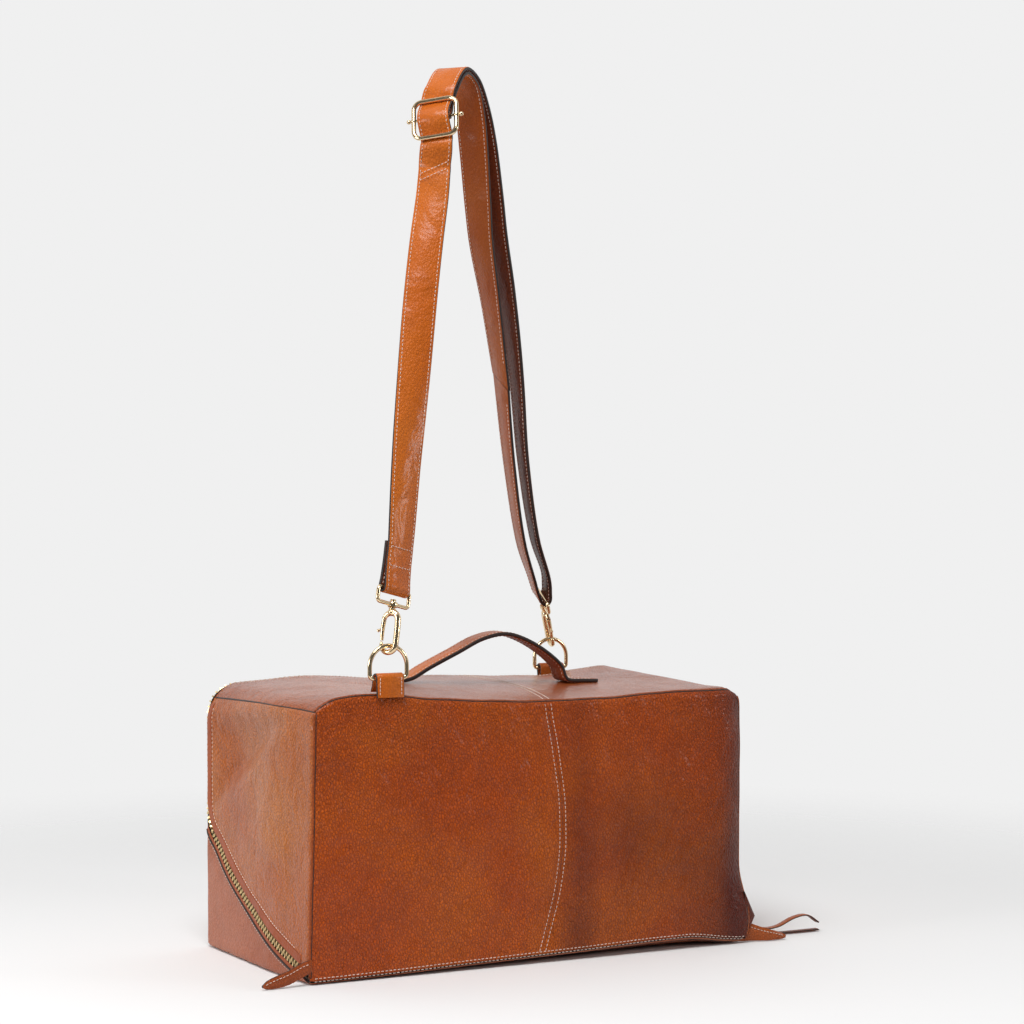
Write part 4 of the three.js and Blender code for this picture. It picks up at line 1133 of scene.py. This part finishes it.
def strap_stations():
    def on_line(run, height, heading):
        return (in_plane(run, height), level(heading), 1.0)

    f = FRAMES["front"]
    eye = on_hook("front", HOOKS["front"]["eyeTop"])
    def at(along, away):
        return aside(eye, f["up"], f["eye"], along, away)

    fold = EYE["wire"] + 0.4 + STRAP_THICK / 2
    lower = [at(46, 2.1), at(24, 2.3), at(9, 3.2), at(0, fold), at(-fold * 0.7, fold * 0.72), at(-fold, 0),
             at(-fold * 0.7, -fold * 0.72), at(0, -fold), at(9, -3.2), at(24, -2.3), at(46, -2.1),
             *[on_line(*p) for p in FRONT_LINE], on_line(*SPLICE)]
    r = FRAMES["rear"]
    rear_eye = on_hook("rear", HOOKS["rear"]["eyeTop"])
    def back(along, away):
        return aside(rear_eye, r["up"], r["eye"], along, away)

    def buckle(along, away, thin=1.0):
        return aside(BUCKLE_AT, BUCKLE_UP, BUCKLE_SIDE, along, away, thin)

    bar = BUCKLE["wire"] + 0.5 + STRAP_THICK / 2
    inside = beside_rear_line(False)
    over = -unit(np.cross(level(SPLICE[2]), Z)) * (STRAP_THICK * 0.5)
    middle = [(in_plane(SPLICE[0] - 1, SPLICE[1] - 4) + over * 1.3, level(SPLICE[2]), 0.6),
              (in_plane(SPLICE[0] + 0.6, SPLICE[1] + 12) + over * 1.0, level(SPLICE[2]), 0.8),
              buckle(-BUCKLE["rise"] - 7, bar * 0.8), buckle(-BUCKLE["rise"], bar), buckle(0, -6),
              buckle(BUCKLE["rise"], bar), *beside_rear_line(True),
              back(22, 8), back(9, 6.6), back(0, fold + 0.6), back(-fold, 0), back(0, -fold - 0.6),
              back(9, -6.6), back(22, -8), *inside[UPPER_SPLICE + 1:][::-1], inside[UPPER_SPLICE]]
    wrap = BUCKLE["bar"] + 0.4 + STRAP_THICK * 0.25
    start = (inside[UPPER_SPLICE][0] + Z * 0.4, inside[UPPER_SPLICE][1], 1.0)
    upper = [start, *inside[:UPPER_SPLICE][::-1], buckle(BUCKLE["rise"], 9.2), buckle(8, 6.6, 0.7),
             buckle(2, wrap + 0.4, 0.5), buckle(-wrap * 0.7, wrap * 0.7, 0.5), buckle(-wrap, 0, 0.5),
             buckle(-wrap * 0.7, -wrap * 0.7, 0.5), buckle(0, -wrap, 0.5),
             buckle(wrap * 0.7, -wrap * 0.7, 0.5)]
    lower.append((in_plane(SPLICE[0] + 1.5, SPLICE[1] + 8), level(SPLICE[2]), 0.8))
    return {"lower": lower, "middle": middle, "upper": upper}


def straps():
    rows = []
    slants = {"lower": (0, 0), "middle": (SPLICE_SLANT, -SPLICE_SLANT), "upper": (-SPLICE_SLANT, 0)}
    for name, stations in strap_stations().items():
        thing, frames = strap_piece(
            f"strap_{name}_leather", stations, STRAP_WIDTH, STRAP_THICK, STRAP_TAN, STRAP_BACK,
            slants=slants[name],
        )
        place(thing, "strap", "tan_leather", f"strap_{name}")
        rows += strap_stitch_rows(frames, STRAP_WIDTH, STRAP_THICK, sides=(-1, 1), span=slice(2, -2))
    place(stitches("stitches_strap", rows, pitch=4.2, long=2.9, radius=0.4), "strap", "tan_leather")
    cross_rows = []
    f = FRAMES["front"]
    eye = on_hook("front", HOOKS["front"]["eyeTop"])
    outward = -unit(np.cross(f["up"], f["eye"]))
    for along in (22, 41):
        middle = eye + f["up"] * along + outward * (2.35 + STRAP_THICK / 2)
        path = middle + f["eye"] * np.linspace(-14, 14, 8)[:, None]
        cross_rows.append((path, np.repeat(outward[None], 8, 0)))
    wide = level(SPLICE[2])
    rising = unit(in_plane(106, 795) - in_plane(102, 775))
    out = unit(np.cross(wide, rising))
    out = out if out @ RUN < 0 else -out
    share = np.linspace(-1, 1, 8)[:, None]
    for offset in (0, 7):
        middle = in_plane(SPLICE[0], SPLICE[1]) + rising * offset
        path = middle + wide * (14 * share) + rising * (SPLICE_SLANT * 14 * share) + out * (STRAP_THICK + 0.1)
        cross_rows.append((path, np.repeat(out[None], 8, 0)))
    place(stitches("stitches_strap_cross", cross_rows, pitch=4.0, long=2.8), "strap", "tan_leather")


HANDLE = [
    (-103, 0), (-92, 0), (-78, 2.5), (-58, 19), (-24, 41), (5, 54), (32, 58), (58, 50), (84, 34),
    (98, 18), (101.5, 7), (104.5, 2.2), (110, 0.4), (124, 0), (141, 0),
]


def handle():
    foot = HEIGHT + 0.4 + 2.0
    under = body(np.array([(x, 0.0, HEIGHT) for x, _ in HANDLE]))
    fade = np.array([1 - smooth(rise / 40) for _, rise in HANDLE])
    stations = [
        (np.array([x, 0.0, foot + rise + (under[i][2] - HEIGHT) * fade[i]]), Y, 1.0)
        for i, (x, rise) in enumerate(HANDLE)
    ]
    thing, frames = strap_piece("handle_leather", stations, 28.0, 4.0, TAN_DEEP, STRAP_TAN, 7)
    place(thing, "lid", "dark_leather", "handle")
    rows = strap_stitch_rows(frames, 28.0, 4.0, sides=(-1, 1), inset_by=3.0, span=slice(3, -3))
    place(stitches("stitches_handle", rows, pitch=4.2, long=2.8, radius=0.38), "lid", "tan_leather")


# ---------------------------------------------------------------- metal fittings
def rounded_loop(half, low, high, corner, detail=7):
    corners = [(half - corner, low + corner, -90), (half - corner, high - corner, 0),
               (-half + corner, high - corner, 90), (-half + corner, low + corner, 180)]
    points = []
    for cx, cy, start in corners:
        for t in np.radians(np.linspace(start, start + 90, detail)):
            points.append((cx + corner * math.cos(t), cy + corner * math.sin(t)))
    return np.array(points)


def d_outline():
    half, corner, shoulder = RING["half"], RING["corner"], RING["shoulder"]
    points = [(half - corner + corner * math.cos(t), corner + corner * math.sin(t))
              for t in np.radians(np.linspace(-90, 0, 7))]
    turn = np.radians(np.linspace(0, 180, 30))
    points += [(half * math.cos(t), shoulder + half * math.sin(t)) for t in turn]
    points += [(-half + corner + corner * math.cos(t), corner + corner * math.sin(t))
               for t in np.radians(np.linspace(180, 270, 7))]
    return np.array(points)


def wire_loop(outline, origin, u, v, radius, step=1.4, sides=14):
    points = np.array([origin + u * a + v * b for a, b in outline])
    points = resample(points, step, True)
    normal = unit(np.cross(u, v))
    along = tangents(points, True)
    across = unit(np.cross(along, np.repeat(normal[None], len(points), 0)))
    return sweep_mesh(points, across, np.repeat(normal[None], len(points), 0), circle(radius, sides), True)


def turned(origin, axis, profile, sides=20):
    """A turned piece: profile holds (along, radius) rows."""
    axis = unit(axis)
    helper = unit(np.cross(axis, X if abs(axis[0]) < 0.8 else Y))
    other = np.cross(axis, helper)
    points = np.array([origin + axis * a for a, _ in profile])
    sections = np.array([circle(max(r, 0.02), sides) for _, r in profile])
    n = len(profile)
    return sweep_mesh(points, np.repeat(helper[None], n, 0), np.repeat(other[None], n, 0), sections)


def ball(at, radius, axis=Z):
    turn = np.linspace(-math.pi / 2, math.pi / 2, 9)
    return turned(at, axis, [(radius * math.sin(t), radius * math.cos(t)) for t in turn], 16)


def finished(name, pieces, body_name, node):
    """One gold piece from several closed shapes."""
    thing = faced_out(merged(name, pieces, [GOLD]))
    return place(keep_edges(thing, 45), body_name, "pale_gold", node)


def rings():
    for which in ("front", "rear"):
        loop = wire_loop(d_outline(), RING_BAR[which], X, Z, RING["wire"])
        finished(f"{which}_d_ring_wire", [loop], f"{which}_ring", f"{which}_d_ring")


def hook(which):
    f = FRAMES[which]
    up, side, eye = f["up"], f["side"], f["eye"]
    normal = unit(np.cross(side, up))
    def at(s, h):
        return f["wire"] + side * s + up * h

    outline = rounded_loop(EYE["half"], EYE["low"], f["eyeTop"], EYE["corner"])
    loop = wire_loop(outline, f["wire"], eye, up, EYE["wire"])
    boss = turned(at(0, 0), up, [(37.6, 3.2), (38.2, 4.6), (39.4, 5.0), (42.0, 5.0), (43.2, 4.4), (43.6, 2.6)])
    finished(f"{which}_hook_eye_wire", [loop, boss], "strap", f"{which}_hook_eye")

    radius, centre = 7.7, 1.0
    arc = [(radius * math.cos(t), centre + radius * math.sin(t)) for t in np.radians(np.linspace(0, -180, 22))]
    spine = [(2.0, 33.0), (5.6, 31.0), (7.4, 27.5), (7.8, 22.0), (7.9, 14.0), (7.8, 7.0)]
    path = [*spine, *arc, (-7.75, 2.6), (-7.8, 3.9)]
    points = resample(np.array([at(s, h) for s, h in path]), 1.0)
    share = np.linspace(0, 1, len(points))
    thick = np.interp(share, [0, 0.15, 0.5, 0.72, 0.9, 0.97, 1], [3.4, 3.0, 2.9, 2.9, 2.2, 1.8, 0.8])
    _, across, out = cross_frames(points, np.repeat(normal[None], len(points), 0))
    claw = sweep_mesh(points, across, out, np.array([circle(t, 12, 1.12) for t in thick]))
    arm = resample(np.array([at(0, 33), at(-4, 31.6), at(-7.0, 28.6)]), 1.0)
    _, across, out = cross_frames(arm, np.repeat(normal[None], len(arm), 0))
    shoulder = sweep_mesh(arm, across, out, np.array([circle(t, 12) for t in np.linspace(3.2, 2.3, len(arm))]))
    neck = turned(at(0, 0), up, [(29.6, 1.0), (30.6, 3.6), (32.6, 4.8), (34.4, 4.4), (35.4, 3.0), (36.0, 3.6),
                                 (36.8, 3.6), (37.2, 2.0), (44.4, 2.0), (44.6, 3.2), (45.8, 3.0), (46.2, 1.6)])
    pin = turned(at(-7.2, 27.2) - normal * 2.4, normal, [(0, 1.2), (0.3, 1.7), (4.5, 1.7), (4.8, 1.2)])
    finished(f"{which}_hook_claw_body", [claw, shoulder, neck, pin], f"{which}_claw", f"{which}_hook_claw")

    bar = resample(np.array([at(-7.4, 25.2), at(-7.9, 18.0), at(-7.9, 10.0), at(-7.7, 5.2)]), 1.0)
    _, across, out = cross_frames(bar, np.repeat(normal[None], len(bar), 0))
    gate = sweep_mesh(bar, across, out, np.array([circle(t, 10, 1.15) for t in np.linspace(2.3, 1.7, len(bar))]))
    knob = turned(at(-8.6, 17.0), unit(-side * 0.85 - up * 0.5),
                  [(0, 0.9), (2.2, 0.8), (3.2, 1.1), (4.4, 1.7), (5.4, 1.5), (5.9, 0.6)])
    finished(f"{which}_hook_gate_bar", [gate, knob], f"{which}_gate", f"{which}_hook_gate")


def buckle():
    half, rise = BUCKLE["half"], BUCKLE["rise"]
    outline = rounded_loop(half, -rise, rise, BUCKLE["corner"])
    loop = wire_loop(outline, BUCKLE_AT, BUCKLE_SIDE, BUCKLE_UP, BUCKLE["wire"])
    bosses = [ball(BUCKLE_AT + BUCKLE_SIDE * s * half, BUCKLE["boss"], BUCKLE_SIDE) for s in (-1, 1)]
    finished("buckle_frame_wire", [loop, *bosses], "strap", "buckle_frame")
    end = half + BUCKLE["boss"] + 0.3 + BUCKLE["ball"]
    rod = turned(BUCKLE_AT, BUCKLE_SIDE, [(-end, BUCKLE["bar"]), (end, BUCKLE["bar"])])
    balls = [ball(BUCKLE_AT + BUCKLE_SIDE * s * end, BUCKLE["ball"] + 0.3, BUCKLE_SIDE) for s in (-1, 1)]
    finished("buckle_bar_rod", [rod, *balls], "strap", "buckle_bar")


# ---------------------------------------------------------------- tabs, zip pull and corner leathers
def ring_tab(which, face, back, body_name):
    """A strip folded over the ring's bar. face and back are the (y, z) of its two feet."""
    bar = RING_BAR[which]
    outer = RING["wire"] + 1.9
    away = 1 if face[0] < back[0] else -1
    path = [back, (back[0] * 0.35 + (bar[1] + away * outer) * 0.65, bar[2] - 7)]
    turn = np.radians(np.linspace(0, 180, 13))
    path += [(bar[1] + away * outer * math.cos(t), bar[2] + outer * math.sin(t)) for t in turn]
    path += [(face[0] * 0.35 + (bar[1] - away * outer) * 0.65, bar[2] - 7), face]
    stations = [(np.array([bar[0], y, z]), X, 1.0) for y, z in path]
    thing, _ = strap_piece(f"{which}_ring_tab_leather", stations, 30.0, 2.4, STRAP_TAN, STRAP_TAN, 5)
    place(thing, body_name, "tan_leather", f"{which}_ring_tab")


def ring_tabs():
    ring_tab("front", (-128.4, 275.5), (-114.5, 281.0), "lid")
    ring_tab("rear", (132.6, 226.0), (128.4, 226.0), "base")
    rows = []
    for side in (-1, 1):
        path = np.array([(-157 + side * 11.5, -129.0 - 0.4 * t, 277.5 + 18 * t) for t in np.linspace(0, 1, 6)])
        rows.append((path, np.repeat(-Y[None], 6, 0)))
    place(stitches("stitches_front_tab", rows, pitch=4.0, long=2.8), "lid", "tan_leather")
    rows = []
    for side in (-1, 1):
        path = np.array([(163 + side * 11.5, 134.0, z) for z in np.linspace(230, 262, 9)])
        rows.append((path, np.repeat(Y[None], 9, 0)))
    place(stitches("stitches_rear_tab", rows, pitch=4.0, long=2.8), "base", "tan_leather")


def leaf(side, rows):
    """A leaf-shaped tab at the zip's end, from rows of (x, middle, half height)."""
    name = "left" if side < 0 else "right"
    rows = np.array(rows, float)
    made, _ = catmull(rows, 6)
    rings = len(made)
    half = np.maximum(made[:, 2], 0.2)
    tucked = 7 * (1 - smooth((made[:, 0] - 262) / 26)) if side > 0 else np.zeros(rings)
    at = np.column_stack([made[:, 0], -HALF_Y + 1.5 + tucked, np.maximum(made[:, 1], half + 0.3)])
    across = np.repeat(Z[None], rings, 0)
    out = np.repeat(-Y[None], rings, 0)
    outline = [(-1, -1.0), (-0.5, -1.9), (0, -2.2), (0.5, -2.0), (0.7, -1.8), (1.0, -0.9),
               (1.0, 1.0), (0.5, 1.8), (0, 2.0), (-0.5, 1.8), (-1, 1.0)]
    sections = np.array([[(a * h, b) for a, b in outline] for h in half])
    verts, faces, kinds = sweep_mesh(at, across, out, sections)
    kinds = [1 if k in (4, 5, 10, -1) else 0 for k in kinds]
    thing = build(f"{name}_zip_tab_leather", verts, faces, [TAN_DEEP, EDGE], kinds)
    place(keep_edges(thing, 50), "base", "tan_leather", f"{name}_zip_tab")
    row = at + Z * (half * 0.7 - 1.4).clip(0)[:, None] - Y * 2.0
    rows = [(row[2:-4], np.repeat(-Y[None], rings - 6, 0))]
    place(stitches(f"stitches_{name}_zip_tab", rows, pitch=3.6, long=2.5, radius=0.36), "base", "tan_leather")


def ear():
    """The small leather gusset that stands out from the front right corner, above the zip's end."""
    tip, top, bottom = np.array([271.0, -119, 27]), np.array([256.5, -122, 54]), np.array([257.0, -122, 4])
    shares = np.linspace(0, 1, 9)
    grid = np.array([[(top + (bottom - top) * s) * (1 - t) + tip * t for t in shares] for s in shares])
    bulge = np.array([
        [math.sin(math.pi * s) * math.sin(math.pi * (0.15 + 0.8 * t)) for t in shares]
        for s in shares
    ])
    front = grid - Y * (1.0 + 1.6 * bulge[..., None]) * np.array([0, 1, 0])
    thing = slab("corner_ear_leather", front, front + Y * 2.4, [TAN, EDGE, TAN_DEEP])
    place(thing, "lid", "tan_leather")


def pull():
    slope = START["slope"] + 9 / TRACK_RADIUS
    y, z = track_yz(slope)
    along = np.array([0, math.cos(slope), math.sin(slope)])
    across = np.array([0, -math.sin(slope), math.cos(slope)])
    lug = np.array([HALF_X + 4.3, y, z])
    reach = X * math.cos(math.radians(25)) - across * math.sin(math.radians(25))
    loop = wire_loop(rounded_loop(7.0, 0.0, 9.4, 2.0), lug, along, reach, 0.9, 0.8, 10)
    finished("pull_ring_wire", [loop], "pull", "pull_ring")
    far = lug + reach * 9.4
    fold = 0.9 + 0.4 + 0.8
    low = 1.6
    def floor(x, h):
        return (np.array([x, far[1], h]), Y, 1.0)

    def ring(x, h):
        return (far + np.array([x, 0, h]), along, 1.0)

    stations = [floor(366, 9.5), floor(352, 18), floor(335, 16.5), floor(315, 9), floor(298, 8), ring(14, 1.5),
                ring(5, 2.6), ring(0, fold), ring(-fold * 0.72, fold * 0.72), ring(-fold, 0),
                ring(-fold * 0.72, -fold * 0.72), ring(0, -fold), ring(5, -3.4), ring(15, -6),
                floor(298, low + 0.8), floor(320, low), floor(366, low)]
    thing, frames = strap_piece("pull_strip_leather", stations, 8.6, 1.6, STRAP_TAN, STRAP_BACK, 6)
    place(thing, "pull", "dark_leather", "pull_strip")


def hem():
    """The folded hem under the front bottom edge, where the lid turns."""
    path = line((-HALF_X + 16, -HALF_Y + 7.0, 0.0), (HALF_X - 16, -HALF_Y + 7.0, 0.0))
    at, out = on_body(path, (0, 0, -1), -1.4)
    made = tube(at, out, 1.7, 10)
    place(build("hinge_hem_leather", made[0], made[1], [EDGE]), "base", "dark_leather", "hinge_hem")


make_camera()
make_floor()
make_light()
panels()
lining_pieces()
seam_lines()
zip_facings()
zip_pieces()
stitch_rows()
straps()
handle()
rings()
hook("front")
hook("rear")
buckle()
ring_tabs()
LEFT_LEAF = [(-240, 19, 6.0), (-250, 15.5, 7.0), (-264, 9.5, 6.8), (-278, 6.0, 5.6), (-287, 4.2, 3.6),
             (-291, 3.2, 1.2)]
RIGHT_LEAF = [(250, 14.5, 13.0), (258, 12.6, 11.6), (268, 9.8, 9.0), (280, 7.4, 6.8), (292, 5.6, 5.0),
              (301, 4.2, 3.4), (306, 3.4, 1.6)]
leaf(-1, LEFT_LEAF)
leaf(1, RIGHT_LEAF)
ear()
pull()
hem()

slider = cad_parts["zip_slider"]
slider.data.materials.clear()
slider.data.materials.append(OLD_BRASS)

as_numbers = lambda box: [[float(c) for c in corner] for corner in box]
{"cad": as_numbers(cad_box), "visual": as_numbers(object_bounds())}
